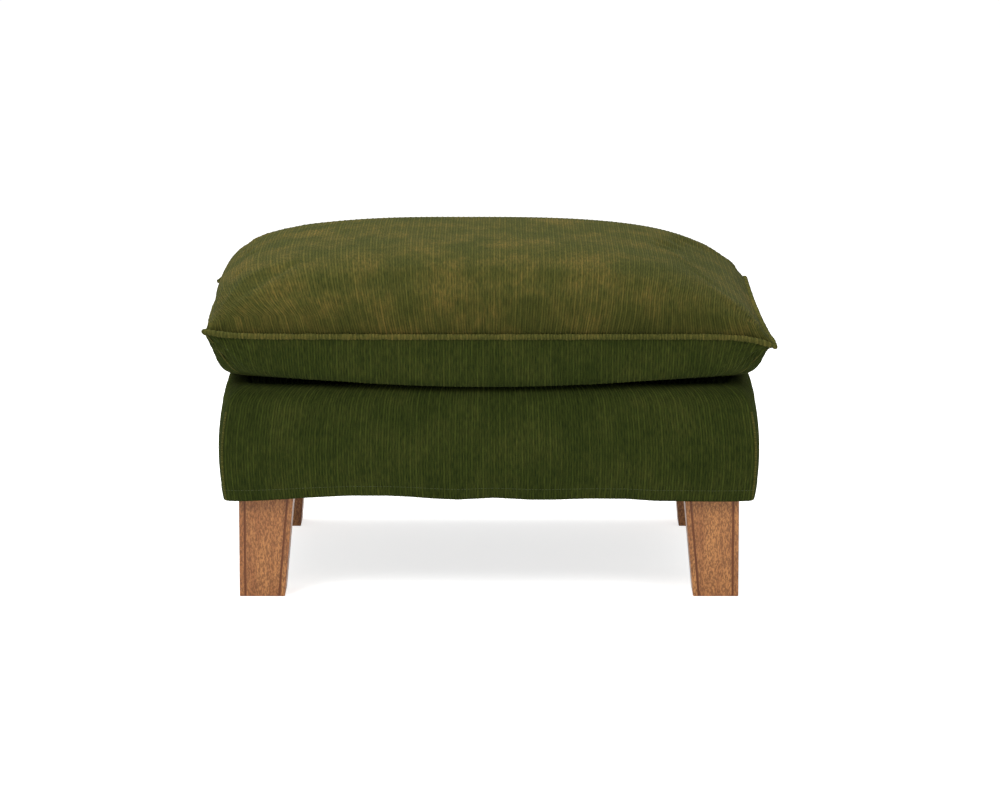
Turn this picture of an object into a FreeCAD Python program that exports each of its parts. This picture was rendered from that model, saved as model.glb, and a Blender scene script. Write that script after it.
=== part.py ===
"""Upholstered footstool: a sprung, padded box base under a corduroy cover, a loose crowned cushion
with a zip at its back, and four tapered wooden legs.

Millimetres. +X to the right, +Y to the back, +Z up, the origin on the floor under the centre.
Each physical piece is written to its own STEP file in parts/.
"""

import FreeCAD
import Part

import math
import os

V = FreeCAD.Vector
X_AXIS = V(1, 0, 0)
Y_AXIS = V(0, 1, 0)
Z_AXIS = V(0, 0, 1)

# Frame: four rails joined at the corners
frame_width = 682.0
frame_depth = 556.0
rail_height = 117.0
rail_thickness = 22.0

# Frame screws, two through each end of the front and back rails
frame_screw_length = 60.0
frame_screw_radius = 2.5
frame_screw_head_radius = 4.5
frame_screw_low = 30.0
frame_screw_high = 88.0

# Corner blocks and the screws that hold them to the rails
block_leg = 105.0
block_tip = 12.0
block_height = 36.0
block_screw_length = 55.0
block_screw_radius = 2.2
block_screw_head_radius = 4.2
block_screw_from_corner = 70.0
block_screw_bite = 16.0
block_screw_pocket_radius = 5.0

# Legs: square, tapered on the two inner sides
leg_height = 144.4
leg_top = 75.0
leg_foot = 62.0
leg_edge_radius = 1.6
groove_inset = 8.0
groove_width = 2.6
groove_depth = 1.6

# Hanger bolt and T-nut of each leg, M8
bolt_radius = 4.0
bolt_in_leg = 40.0
bolt_above_leg = 36.0
bolt_tip = 5.0
nut_flange_radius = 11.0
nut_flange_thickness = 1.5
nut_barrel_radius = 5.0
nut_barrel_length = 10.0
thread_clearance = 0.05
bolt_hole_clearance = 0.5

# Dust cover under the frame and its staples
dust_cover_thickness = 0.6
dust_cover_margin = 5.0
staple_crown = 10.0
staple_wire_width = 1.2
staple_wire_thickness = 0.6
staple_leg = 8.0
staple_edge_distance = 11.0
staple_first = 100.0
staple_pitch = 55.0
staples_per_half_front = 3
staples_per_half_side = 2

# Zigzag springs, clips, clip nails, tie wire and insulator
spring_count = 5
spring_spacing = 110.0
spring_wire_radius = 1.9
spring_loop_width = 50.0
spring_loop_pitch = 24.0
clip_width = 18.0
clip_plate = 1.2
clip_lip = 3.0
clip_tongue = 9.0
clip_nail_offset = 5.6
clip_nail_radius = 1.0
clip_nail_head_radius = 2.0
clip_nail_head_thickness = 0.8
clip_nail_length = 18.0
wire_clearance = 0.05
tie_wire_radius = 1.2
tie_wire_overhang = 8.0
insulator_thickness = 2.0
insulator_margin = 4.0

# Padding and base cover
fabric_thickness = 2.5
seat_gap = 0.3
base_foam_thickness = 18.0
stand_out_hem = 14.0
stand_out_bulge = 21.0
stand_out_shoulder = 12.0
base_corner_radius = 22.0
shoulder_radius = 16.0
hem_drop = 9.0
base_side_bow = 3.0

# Tabs that hold the cover's hem to the frame
tab_length = 120.0
tab_reach = 34.0
tape_thickness = 1.2
hook_tape_width = 22.0

# Cushion: boxing below the seam, crown above it
cushion_half_width = 375.0
cushion_half_depth = 304.0
boxing_height = 68.0
welt_height = 7.0
crown_height = 107.0
crown_power = 2.9
crown_corner = 95.0
crown_bow = 16.0
crown_corner_limit = 0.8
side_bow = 4.0
front_bow = 6.0
boxing_lean = 10.0
boxing_tuck = 24.0
boxing_tuck_power = 5.0
back_tuck_power = 14.0
boxing_corner = 55.0
seam_corner = 7.0
welt_proud = 3.0
ear_reach = 10.0
ear_base = 34.0
wadding_bottom_thickness = 12.0
core_above_seam = 26.0

# Zip across the back boxing
zip_length = 520.0
zip_above_base = 34.0
chain_height = 6.0
chain_thickness = 2.4
zip_tape_width = 13.0
zip_tape_thickness = 0.8
zip_tape_split = 0.2
window_half_height = 4.6
window_overrun = 4.0
stop_length = 3.0
stop_proud = 0.2

# Zip slider and pull tab
slider_length = 11.0
slider_plate = 1.6
slider_flange = 1.0
slider_clearance = 0.3
lug_width = 2.4
lug_length = 6.0
lug_height = 3.2
lug_bore_radius = 0.95
pivot_radius = 0.8
pull_arm_gap = 0.4
pull_arm_width = 1.3
pull_arm_radius = 1.1
pull_arm_length = 6.5
pull_tab_length = 20.0
pull_tab_thickness = 1.4
pull_tab_corner = 2.2

# Heights and places that follow from the sizes above
frame_half_x = frame_width / 2
frame_half_y = frame_depth / 2
inner_half_x = frame_half_x - rail_thickness
inner_half_y = frame_half_y - rail_thickness
frame_bottom = leg_height + dust_cover_thickness
frame_top = frame_bottom + rail_height
wire_centre_z = frame_top + clip_plate + spring_wire_radius
wire_top = wire_centre_z + spring_wire_radius
tie_wire_z = wire_top + wire_clearance + tie_wire_radius
insulator_bottom = tie_wire_z + tie_wire_radius + wire_clearance
insulator_top = insulator_bottom + insulator_thickness
foam_top = insulator_top + base_foam_thickness
base_top = foam_top + seat_gap + fabric_thickness
shoulder_bottom = base_top - shoulder_radius
hem_z = frame_bottom - hem_drop
padding_inset = fabric_thickness + seat_gap
spring_end_y = frame_half_y - rail_thickness / 2
cushion_bottom = base_top + seat_gap
seam_low = cushion_bottom + boxing_height
seam_high = seam_low + welt_height
block_top = frame_bottom + block_height
zip_z = cushion_bottom + zip_above_base
tape_front_y = cushion_half_depth - padding_inset
chain_front_y = tape_front_y + chain_thickness
slider_x = zip_length / 2 - stop_length - slider_clearance - slider_length / 2
slider_plate_y = chain_front_y + slider_clearance
slider_face_y = slider_plate_y + slider_plate
pivot_y = slider_face_y + lug_height / 2

# Directions of the four corners and the four sides
CORNERS = {
    "front_left": (-1, -1),
    "front_right": (1, -1),
    "back_left": (-1, 1),
    "back_right": (1, 1),
}
SIDES = ("front", "back", "left", "right")


def box(x0, x1, y0, y1, z0, z1):
    """Block between two opposite corners."""
    return Part.makeBox(x1 - x0, y1 - y0, z1 - z0, V(x0, y0, z0))


def prism(points, z0, z1):
    """Upright prism over a closed polygon given as (x, y) pairs."""
    corners = [V(x, y, z0) for x, y in points]
    face = Part.Face(Part.makePolygon(corners + corners[:1]))
    return face.extrude(V(0, 0, z1 - z0))


def fused(shapes):
    """One solid out of solids that touch or overlap."""
    first, rest = shapes[0], list(shapes[1:])
    return first.fuse(rest).removeSplitter() if rest else first


def group(shapes):
    """Separate solids kept in one node."""
    return Part.makeCompound(shapes)


def to_corner(shape, direction):
    """Copy a piece made at the back right corner to the corner in the given direction."""
    placed = shape
    if direction[0] < 0:
        placed = placed.mirror(V(0, 0, 0), X_AXIS)
    if direction[1] < 0:
        placed = placed.mirror(V(0, 0, 0), Y_AXIS)
    return placed


def at_corners(shape):
    """Copies of a back right piece at all four corners."""
    return [to_corner(shape, direction) for direction in CORNERS.values()]


def bowed_edge(start, end, bow, outward):
    """Side of an outline: straight, or an arc that stands out by its bow."""
    if bow <= 0:
        return Part.LineSegment(start, end).toShape()
    middle = (start + end) * 0.5 + outward * bow
    return Part.Arc(start, middle, end).toShape()


def outline(x, front, back, corner, bow, bow_front, bow_back, z):
    """Closed outline at one height: four sides and four rounded corners."""
    signs = ((1, 1), (-1, 1), (-1, -1), (1, -1))
    depth = {1: back, -1: front}
    inset = corner * (1 - math.sqrt(0.5))
    sides = (
        (V(x, -front + corner, z), V(x, back - corner, z), bow, X_AXIS),
        (V(x - corner, back, z), V(-x + corner, back, z), bow_back, Y_AXIS),
        (V(-x, back - corner, z), V(-x, -front + corner, z), bow, -X_AXIS),
        (V(-x + corner, -front, z), V(x - corner, -front, z), bow_front, -Y_AXIS),
    )
    edges = []
    for number, (start, end, bow_side, outward) in enumerate(sides):
        following = sides[(number + 1) % len(sides)][0]
        sx, sy = signs[number]
        middle = V(sx * (x - inset), sy * (depth[sy] - inset), z)
        edges.append(bowed_edge(start, end, bow_side, outward))
        edges.append(Part.Arc(end, middle, following).toShape())
    return Part.Wire(edges)


def loft(wires):
    """Smooth closed solid through outlines at rising heights."""
    return Part.makeLoft(wires, True, False)


def side_wedge(side, half_x, half_y, margin, depth, z0, z1):
    """Prism over one side's share of a ring that is mitred at 45 degrees in its corners."""
    x1, y1 = half_x + margin, half_y + margin
    x0, y0 = half_x - depth, half_y - depth
    shares = {
        "front": ((-x1, -y1), (x1, -y1), (x0, -y0), (-x0, -y0)),
        "back": ((x1, y1), (-x1, y1), (-x0, y0), (x0, y0)),
        "left": ((-x1, y1), (-x1, -y1), (-x0, -y0), (-x0, y0)),
        "right": ((x1, -y1), (x1, y1), (x0, y0), (x0, -y0)),
    }
    return prism(shares[side], z0, z1)


def screw(length, radius, head_radius):
    """Countersunk screw along +Z with its head's flat face at the origin, running down."""
    head_height = head_radius - radius
    head = Part.makeCone(radius, head_radius, head_height, V(0, 0, -head_height))
    shank = Part.makeCylinder(radius, length - head_height - radius, V(0, 0, -length + radius))
    tip = Part.makeCone(0, radius, radius, V(0, 0, -length))
    return fused([shank, head, tip])


def turned(shape, axis, angle, place):
    """Copy of a piece turned about an axis through the origin, then moved to its place."""
    moved = shape.copy()
    moved.rotate(V(0, 0, 0), axis, angle)
    moved.translate(place)
    return moved


# Fasteners of the wooden frame


def frame_screws():
    """Screws through the faces of the front and back rails into the side rails' ends."""
    one = screw(frame_screw_length, frame_screw_radius, frame_screw_head_radius)
    across = frame_half_x - rail_thickness / 2
    pair = [
        turned(one, X_AXIS, -90, V(across, frame_half_y, frame_bottom + height))
        for height in (frame_screw_low, frame_screw_high)
    ]
    return [copy for piece in pair for copy in at_corners(piece)]


def block_screws():
    """Two screws through each corner block, one into each rail."""
    one = screw(block_screw_length, block_screw_radius, block_screw_head_radius)
    height = frame_bottom + block_height / 2
    start = block_screw_bite - block_screw_length
    along_x = turned(
        one, Y_AXIS, -90, V(inner_half_x + start, inner_half_y - block_screw_from_corner, height)
    )
    along_y = turned(
        one, X_AXIS, 90, V(inner_half_x - block_screw_from_corner, inner_half_y + start, height)
    )
    return [copy for piece in (along_x, along_y) for copy in at_corners(piece)]


def block_pockets():
    """Round pockets that sink the block screws' heads, at the back right corner."""
    height = frame_bottom + block_height / 2
    head_x = inner_half_x + block_screw_bite - block_screw_length
    head_y = inner_half_y + block_screw_bite - block_screw_length
    reach = block_leg
    along_x = Part.makeCylinder(
        block_screw_pocket_radius,
        reach,
        V(head_x, inner_half_y - block_screw_from_corner, height),
        -X_AXIS,
    )
    along_y = Part.makeCylinder(
        block_screw_pocket_radius,
        reach,
        V(inner_half_x - block_screw_from_corner, head_y, height),
        -Y_AXIS,
    )
    return [along_x, along_y]


def leg_axis():
    """Centre of the back right leg's top, where its bolt stands."""
    return frame_half_x - leg_top / 2, frame_half_y - leg_top / 2


def hanger_bolt():
    """Bolt of the back right leg, with a tapered tip in the wood."""
    x, y = leg_axis()
    bottom = leg_height - bolt_in_leg
    shank = Part.makeCylinder(
        bolt_radius, bolt_in_leg + bolt_above_leg - bolt_tip, V(x, y, bottom + bolt_tip)
    )
    tip = Part.makeCone(bolt_radius / 2, bolt_radius, bolt_tip, V(x, y, bottom))
    return fused([shank, tip])


def t_nut():
    """Flanged nut on top of the back right corner block."""
    x, y = leg_axis()
    flange = Part.makeCylinder(nut_flange_radius, nut_flange_thickness, V(x, y, block_top))
    barrel = Part.makeCylinder(
        nut_barrel_radius, nut_barrel_length, V(x, y, block_top - nut_barrel_length)
    )
    bore = Part.makeCylinder(
        bolt_radius + thread_clearance,
        nut_barrel_length + nut_flange_thickness,
        V(x, y, block_top - nut_barrel_length),
    )
    return fused([barrel, flange]).cut(bore)


# Staples, tapes and tabs under the frame


def staple(x, y, along_x):
    """One staple: a crown below the dust cover and two legs in the rail."""
    half = staple_crown / 2
    width = staple_wire_width / 2
    crown_top = frame_bottom - dust_cover_thickness
    crown_bottom = crown_top - staple_wire_thickness
    leg_top_z = frame_bottom + staple_leg
    crown = box(-half, half, -width, width, crown_bottom, crown_top)
    legs = [
        box(x0, x0 + staple_wire_thickness, -width, width, crown_top, leg_top_z)
        for x0 in (-half, half - staple_wire_thickness)
    ]
    return turned(fused([crown] + legs), Z_AXIS, 0 if along_x else 90, V(x, y, 0))


def staples():
    """Staples along the four rails, clear of the legs and the hook tapes."""
    made = []
    rail_y = frame_half_y - staple_edge_distance
    rail_x = frame_half_x - staple_edge_distance
    for sign in (-1, 1):
        for end in (-1, 1):
            for number in range(staples_per_half_front):
                along = staple_first + number * staple_pitch
                made.append(staple(end * along, sign * rail_y, True))
            for number in range(staples_per_half_side):
                along = staple_first + number * staple_pitch
                made.append(staple(sign * rail_x, end * along, False))
    return made


def hem_tapes(inner_cover):
    """Hook tapes under the rails, and the cover's tabs with loop tape that hold to them."""
    hook_top = frame_bottom - dust_cover_thickness
    hook_bottom = hook_top - tape_thickness
    half = tab_length / 2
    reach = stand_out_bulge
    hooks, tabs = [], []
    for sign in (-1, 1):
        y0, y1 = sorted((sign * frame_half_y, sign * (frame_half_y - hook_tape_width)))
        x0, x1 = sorted((sign * frame_half_x, sign * (frame_half_x - hook_tape_width)))
        hooks.append(box(-half, half, y0, y1, hook_bottom, hook_top))
        hooks.append(box(x0, x1, -half, half, hook_bottom, hook_top))
        y0, y1 = sorted((sign * (frame_half_y + reach), sign * (frame_half_y - tab_reach)))
        x0, x1 = sorted((sign * (frame_half_x + reach), sign * (frame_half_x - tab_reach)))
        tabs.append(box(-half, half, y0, y1, hook_bottom - tape_thickness, hook_bottom))
        tabs.append(box(x0, x1, -half, half, hook_bottom - tape_thickness, hook_bottom))
    return hooks, [tab.common(inner_cover) for tab in tabs]


# Springs


def spring_bars():
    """Number of cross bars of one spring, and the distance between two of them."""
    span = 2 * spring_end_y
    steps = 2 * round(span / spring_loop_pitch / 2) + 1
    return steps + 1, span / steps


def zigzag_spring(x):
    """Flat zigzag wire from the front rail to the back rail at one place across the frame."""
    bars, pitch = spring_bars()
    reach = (spring_loop_width - pitch) / 2
    edges = []
    side = 1
    for number in range(bars):
        y = -spring_end_y + number * pitch
        start, end = V(x - side * reach, y, wire_centre_z), V(x + side * reach, y, wire_centre_z)
        edges.append(Part.LineSegment(start, end).toShape())
        if number < bars - 1:
            tip = V(x + side * (reach + pitch / 2), y + pitch / 2, wire_centre_z)
            nearer = V(x + side * reach, y + pitch, wire_centre_z)
            edges.append(Part.Arc(end, tip, nearer).toShape())
        side = -side
    path = Part.Wire(edges)
    start = V(x - reach, -spring_end_y, wire_centre_z)
    profile = Part.Wire([Part.makeCircle(spring_wire_radius, start, X_AXIS)])
    return path.makePipeShell([profile], True, False)


def spring_places():
    """Places of the springs across the frame."""
    first = -spring_spacing * (spring_count - 1) / 2
    return [first + number * spring_spacing for number in range(spring_count)]


def spring_clip(x):
    """Clip at the back end of one spring: plate, wall behind the wire and lip over it."""
    half = clip_width / 2
    wall_y = spring_end_y + spring_wire_radius + wire_clearance
    back_y = wall_y + clip_plate
    lip_z = wire_top + wire_clearance
    plate = box(x - half, x + half, spring_end_y - clip_tongue, back_y, frame_top, frame_top + clip_plate)
    wall = box(x - half, x + half, wall_y, back_y, frame_top, lip_z + clip_plate)
    lip = box(x - half, x + half, spring_end_y - clip_lip, back_y, lip_z, lip_z + clip_plate)
    return fused([plate, wall, lip])


def clip_nail(x):
    """Nail through the tongue of one clip at the back rail."""
    y = spring_end_y - clip_nail_offset
    plate_top = frame_top + clip_plate
    shank = Part.makeCylinder(clip_nail_radius, clip_nail_length, V(x, y, plate_top - clip_nail_length))
    head = Part.makeCylinder(clip_nail_head_radius, clip_nail_head_thickness, V(x, y, plate_top))
    return fused([shank, head])


def at_front_and_back(shape):
    """A piece on the back rail and its mirrored copy on the front rail."""
    return [shape, shape.mirror(V(0, 0, 0), Y_AXIS)]


# Soft forms


def base_sides(inset):
    """Bulging body of the covered base, from the hem to the shoulder."""
    bulge_z = (hem_z + shoulder_bottom) / 2
    levels = (
        (hem_z, stand_out_hem),
        (bulge_z, stand_out_bulge),
        (shoulder_bottom, stand_out_shoulder),
    )
    wires = []
    for z, stand_out in levels:
        x = frame_half_x + stand_out - inset
        y = frame_half_y + stand_out - inset
        corner = base_corner_radius - inset
        wires.append(outline(x, y, y, corner, base_side_bow, base_side_bow, base_side_bow, z))
    return loft(wires)


def base_shoulder(inset):
    """Rounded top of the covered base, a quarter round in section."""
    radius = shoulder_radius - inset
    wires = []
    for degrees in (0, 25, 50, 70, 90):
        angle = math.radians(degrees)
        drawn_in = radius * (1 - math.cos(angle))
        z = shoulder_bottom + radius * math.sin(angle)
        x = frame_half_x + stand_out_shoulder - inset - drawn_in
        y = frame_half_y + stand_out_shoulder - inset - drawn_in
        corner = base_corner_radius - inset - drawn_in / 2
        wires.append(outline(x, y, y, corner, base_side_bow, base_side_bow, base_side_bow, z))
    return loft(wires)


def boxing_form(inset):
    """Cushion below its seam: sides lean in, then tuck under to the flat bottom."""
    bottom = cushion_bottom + inset
    height = seam_low - bottom
    wires = []
    for share in (1.0, 0.95, 0.87, 0.75, 0.6, 0.4, 0.2, 0.0):
        tuck = boxing_tuck * (1 - math.sqrt(1 - share**boxing_tuck_power))
        back_tuck = boxing_tuck * (1 - math.sqrt(1 - share**back_tuck_power))
        drawn_in = boxing_lean * share + tuck + inset
        x = cushion_half_width - drawn_in
        front = cushion_half_depth - drawn_in
        back = cushion_half_depth - back_tuck - inset
        corner = max(seam_corner - inset, 1.0) + boxing_corner * share
        z = seam_low - share * height
        wires.append(outline(x, front, back, corner, side_bow, front_bow, 0, z))
    return loft(wires)


def seam_outline(inset, z):
    """Outline of the cushion at its seam."""
    x = cushion_half_width - inset
    y = cushion_half_depth - inset
    corner = max(seam_corner - inset, 1.0)
    return outline(x, y, y, corner, side_bow, front_bow, 0, z)


def seam_form(inset):
    """Straight stretch of the cushion through the height of the welt."""
    face = Part.Face(seam_outline(inset, seam_low))
    return face.extrude(V(0, 0, welt_height))


def crown_form(inset):
    """Cushion above its seam: a dome that is steep at the seam and nearly flat on top."""
    wires = [seam_outline(inset, seam_high)]
    for degrees in (12, 25, 40, 55, 68, 78, 85):
        angle = math.radians(degrees)
        width_share = math.cos(angle) ** (2 / crown_power)
        height_share = math.sin(angle) ** (2 / crown_power)
        x = (cushion_half_width - inset) * width_share
        y = (cushion_half_depth - inset) * width_share
        corner = min(seam_corner + crown_corner * math.sin(angle), crown_corner_limit * y)
        bow = crown_bow * math.sin(angle)
        z = seam_high + (crown_height - inset) * height_share
        wires.append(outline(x, y, y, corner, side_bow + bow, front_bow + bow, bow, z))
    return loft(wires)


def cushion_form(inset):
    """Whole cushion, drawn in by an inset on every side."""
    return fused([boxing_form(inset), seam_form(inset), crown_form(inset)])


def seam_welt():
    """Raised welt around the seam, with a pointed ear at each corner."""
    x = cushion_half_width + welt_proud
    y = cushion_half_depth + welt_proud
    ear = ear_reach - welt_proud
    bows = (side_bow, 0, side_bow, front_bow)
    outwards = (X_AXIS, Y_AXIS, -X_AXIS, -Y_AXIS)
    corners = (V(x, y, seam_low), V(-x, y, seam_low), V(-x, -y, seam_low), V(x, -y, seam_low))
    edges = []
    for number, corner in enumerate(corners):
        before = corners[number - 1]
        after = corners[(number + 1) % len(corners)]
        run_in = (corner - before).normalize()
        run_out = (after - corner).normalize()
        start = before + run_in * ear_base
        end = corner - run_in * ear_base
        tip = corner + (run_in - run_out) * ear
        edges.append(bowed_edge(start, end, bows[number], outwards[number]))
        edges.append(Part.LineSegment(end, tip).toShape())
        edges.append(Part.LineSegment(tip, corner + run_out * ear_base).toShape())
    face = Part.Face(Part.Wire(edges))
    return face.extrude(V(0, 0, welt_height)).cut(seam_form(fabric_thickness))


# Zip


def zip_recess():
    """Space that the zip's tapes take behind the back boxing."""
    half = zip_length / 2 + window_overrun
    reach = zip_tape_width + seat_gap
    y0 = tape_front_y - zip_tape_thickness - seat_gap
    return box(-half, half, y0, cushion_half_depth + fabric_thickness, zip_z - reach, zip_z + reach)


def zip_window():
    """Slot in the back boxing that shows the chain."""
    half = zip_length / 2 + window_overrun
    y0 = tape_front_y - fabric_thickness
    y1 = cushion_half_depth + fabric_thickness
    return box(-half, half, y0, y1, zip_z - window_half_height, zip_z + window_half_height)


def zip_tape(sign):
    """One of the two woven tapes, above or below the chain's centre line."""
    half = zip_length / 2 + window_overrun
    z0, z1 = sorted((zip_z + sign * zip_tape_split / 2, zip_z + sign * zip_tape_width))
    return box(-half, half, tape_front_y - zip_tape_thickness, tape_front_y, z0, z1)


def zip_chain():
    """Closed chain of the zip between its two end stops."""
    half = zip_length / 2 - stop_length
    reach = chain_height / 2
    return box(-half, half, tape_front_y, chain_front_y, zip_z - reach, zip_z + reach)


def zip_stops():
    """End stops at both ends of the chain."""
    reach = chain_height / 2 + slider_flange
    outer = zip_length / 2
    inner = outer - stop_length
    top = chain_front_y + stop_proud
    return [
        box(inner, outer, tape_front_y, top, zip_z - reach, zip_z + reach),
        box(-outer, -inner, tape_front_y, top, zip_z - reach, zip_z + reach),
    ]


def zip_slider():
    """Channel-shaped slider over the chain, with a bored lug for the pull tab."""
    x0, x1 = slider_x - slider_length / 2, slider_x + slider_length / 2
    inner = chain_height / 2 + slider_clearance
    outer = inner + slider_flange
    foot_y = tape_front_y + slider_clearance
    body = box(x0, x1, foot_y, slider_face_y, zip_z - outer, zip_z + outer)
    channel = box(x0, x1, foot_y, slider_plate_y, zip_z - inner, zip_z + inner)
    lug_x = lug_width / 2
    lug_z = lug_length / 2
    lug = box(
        slider_x - lug_x, slider_x + lug_x, slider_face_y, slider_face_y + lug_height,
        zip_z - lug_z, zip_z + lug_z,
    )
    bore = Part.makeCylinder(lug_bore_radius, lug_width, V(slider_x - lug_x, pivot_y, zip_z), X_AXIS)
    return fused([body.cut(channel), lug]).cut(bore)


def zip_pull():
    """Pull tab hanging from the lug: a pivot bar, two arms and a tab with a hole."""
    arm_in = lug_width / 2 + pull_arm_gap
    arm_out = arm_in + pull_arm_width
    half = pull_tab_thickness / 2
    pieces = [Part.makeCylinder(pivot_radius, 2 * arm_out, V(slider_x - arm_out, pivot_y, zip_z), X_AXIS)]
    tab_top = zip_z - pull_arm_length
    for x0 in (slider_x - arm_out, slider_x + arm_in):
        x1 = x0 + pull_arm_width
        pieces.append(Part.makeCylinder(pull_arm_radius, pull_arm_width, V(x0, pivot_y, zip_z), X_AXIS))
        pieces.append(box(x0, x1, pivot_y - half, pivot_y + half, tab_top, zip_z))
    tab_bottom = tab_top - pull_tab_length
    tab = box(slider_x - arm_out, slider_x + arm_out, pivot_y - half, pivot_y + half, tab_bottom, tab_top)
    upright = [
        edge
        for edge in tab.Edges
        if edge.BoundBox.ZMax < tab_bottom + half and edge.BoundBox.YLength > half
    ]
    tab = tab.makeFillet(pull_tab_corner, upright)
    hole = Part.makeCylinder(
        arm_out / 2, pull_tab_thickness, V(slider_x, pivot_y - half, tab_bottom + arm_out), Y_AXIS
    )
    return fused(pieces + [tab]).cut(hole)


# Wooden parts


def rails(cutters):
    """Four rails: the front and back ones run the full width, the side ones fit between."""
    blanks = {
        "front_rail": box(-frame_half_x, frame_half_x, -frame_half_y, -inner_half_y, frame_bottom, frame_top),
        "back_rail": box(-frame_half_x, frame_half_x, inner_half_y, frame_half_y, frame_bottom, frame_top),
        "left_rail": box(-frame_half_x, -inner_half_x, -inner_half_y, inner_half_y, frame_bottom, frame_top),
        "right_rail": box(inner_half_x, frame_half_x, -inner_half_y, inner_half_y, frame_bottom, frame_top),
    }
    return {name: blank.cut(cutters) for name, blank in blanks.items()}


def corner_block(cutters):
    """Glued and screwed block in the back right corner of the frame."""
    x, y = inner_half_x, inner_half_y
    points = (
        (x, y),
        (x - block_leg, y),
        (x - block_leg, y - block_tip),
        (x - block_tip, y - block_leg),
        (x, y - block_leg),
    )
    block = prism(points, frame_bottom, block_top)
    bolt_x, bolt_y = leg_axis()
    through = Part.makeCylinder(
        bolt_radius + bolt_hole_clearance, block_height, V(bolt_x, bolt_y, frame_bottom)
    )
    barrel = Part.makeCylinder(
        nut_barrel_radius, nut_barrel_length, V(bolt_x, bolt_y, block_top - nut_barrel_length)
    )
    return block.cut([through, barrel] + block_pockets() + cutters)


def leg_groove(top_across, foot_across):
    """Groove cutter on the leg's outer Y face, from its place at the top to that at the foot."""
    half = groove_width / 2
    y = frame_half_y - groove_depth
    corners = [
        V(top_across - half, y, leg_height),
        V(top_across + half, y, leg_height),
        V(foot_across + half, y, 0),
        V(foot_across - half, y, 0),
    ]
    face = Part.Face(Part.makePolygon(corners + corners[:1]))
    return face.extrude(V(0, groove_depth, 0))


def square_at(size, z):
    """Square wire with its outer corner at the frame's back right corner."""
    x1, y1 = frame_half_x, frame_half_y
    x0, y0 = x1 - size, y1 - size
    corners = [V(x0, y0, z), V(x1, y0, z), V(x1, y1, z), V(x0, y1, z)]
    return Part.makePolygon(corners + corners[:1])


def leg(bolt):
    """Back right leg: tapered on the inner sides, grooved on the outer faces."""
    body = Part.makeLoft([square_at(leg_foot, 0), square_at(leg_top, leg_height)], True, True)
    below_top = [edge for edge in body.Edges if edge.BoundBox.ZMin < leg_height / 2]
    body = body.makeFillet(leg_edge_radius, below_top)
    outer = frame_half_x - groove_inset
    grooves = [
        leg_groove(outer, outer),
        leg_groove(frame_half_x - leg_top + groove_inset, frame_half_x - leg_foot + groove_inset),
    ]
    diagonal = V(1, -1, 0)
    corner = V(frame_half_x, frame_half_y, 0)
    grooves += [groove.mirror(corner, diagonal) for groove in grooves]
    return body.cut(grooves + [bolt])


def dust_cover(cutters):
    """Thin cloth under the frame, pierced for the four bolts."""
    x = frame_half_x - dust_cover_margin
    y = frame_half_y - dust_cover_margin
    sheet = box(-x, x, -y, y, leg_height, frame_bottom)
    bolt_x, bolt_y = leg_axis()
    hole = Part.makeCylinder(
        bolt_radius + bolt_hole_clearance, dust_cover_thickness, V(bolt_x, bolt_y, leg_height)
    )
    return sheet.cut(at_corners(hole) + cutters)


# Assembly


def frame_nodes():
    """Wooden frame, legs, their fasteners and what is stapled under the frame."""
    long_screws = frame_screws()
    short_screws = block_screws()
    bolt = hanger_bolt()
    staple_list = staples()
    nails = [copy for x in spring_places() for copy in at_front_and_back(clip_nail(x))]
    nodes = rails(long_screws + short_screws + staple_list + nails)
    block = corner_block(short_screws)
    one_leg = leg(bolt)
    for name, direction in CORNERS.items():
        nodes["corner_block_" + name] = to_corner(block, direction)
        nodes["leg_" + name] = to_corner(one_leg, direction)
    nodes["frame_screws"] = group(long_screws)
    nodes["corner_block_screws"] = group(short_screws)
    nodes["leg_hanger_bolts"] = group(at_corners(bolt))
    nodes["leg_t_nuts"] = group(at_corners(t_nut()))
    nodes["dust_cover"] = dust_cover(staple_list)
    nodes["dust_cover_staples"] = group(staple_list)
    nodes["spring_clip_nails"] = group(nails)
    return nodes


def suspension_nodes():
    """Springs from rail to rail, their clips, the tie wire and the felt on top."""
    nodes = {}
    clips = []
    for number, x in enumerate(spring_places(), start=1):
        nodes[f"seat_spring_{number}"] = zigzag_spring(x)
        nail = clip_nail(x)
        clips += at_front_and_back(spring_clip(x).cut(nail))
    nodes["spring_clips"] = group(clips)
    tie_half = max(spring_places()) + spring_loop_width / 2 + tie_wire_overhang
    nodes["spring_tie_wire"] = Part.makeCylinder(
        tie_wire_radius, 2 * tie_half, V(-tie_half, 0, tie_wire_z), X_AXIS
    )
    x = frame_half_x - insulator_margin
    y = frame_half_y - insulator_margin
    nodes["spring_insulator"] = box(-x, x, -y, y, insulator_bottom, insulator_top)
    return nodes


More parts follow.
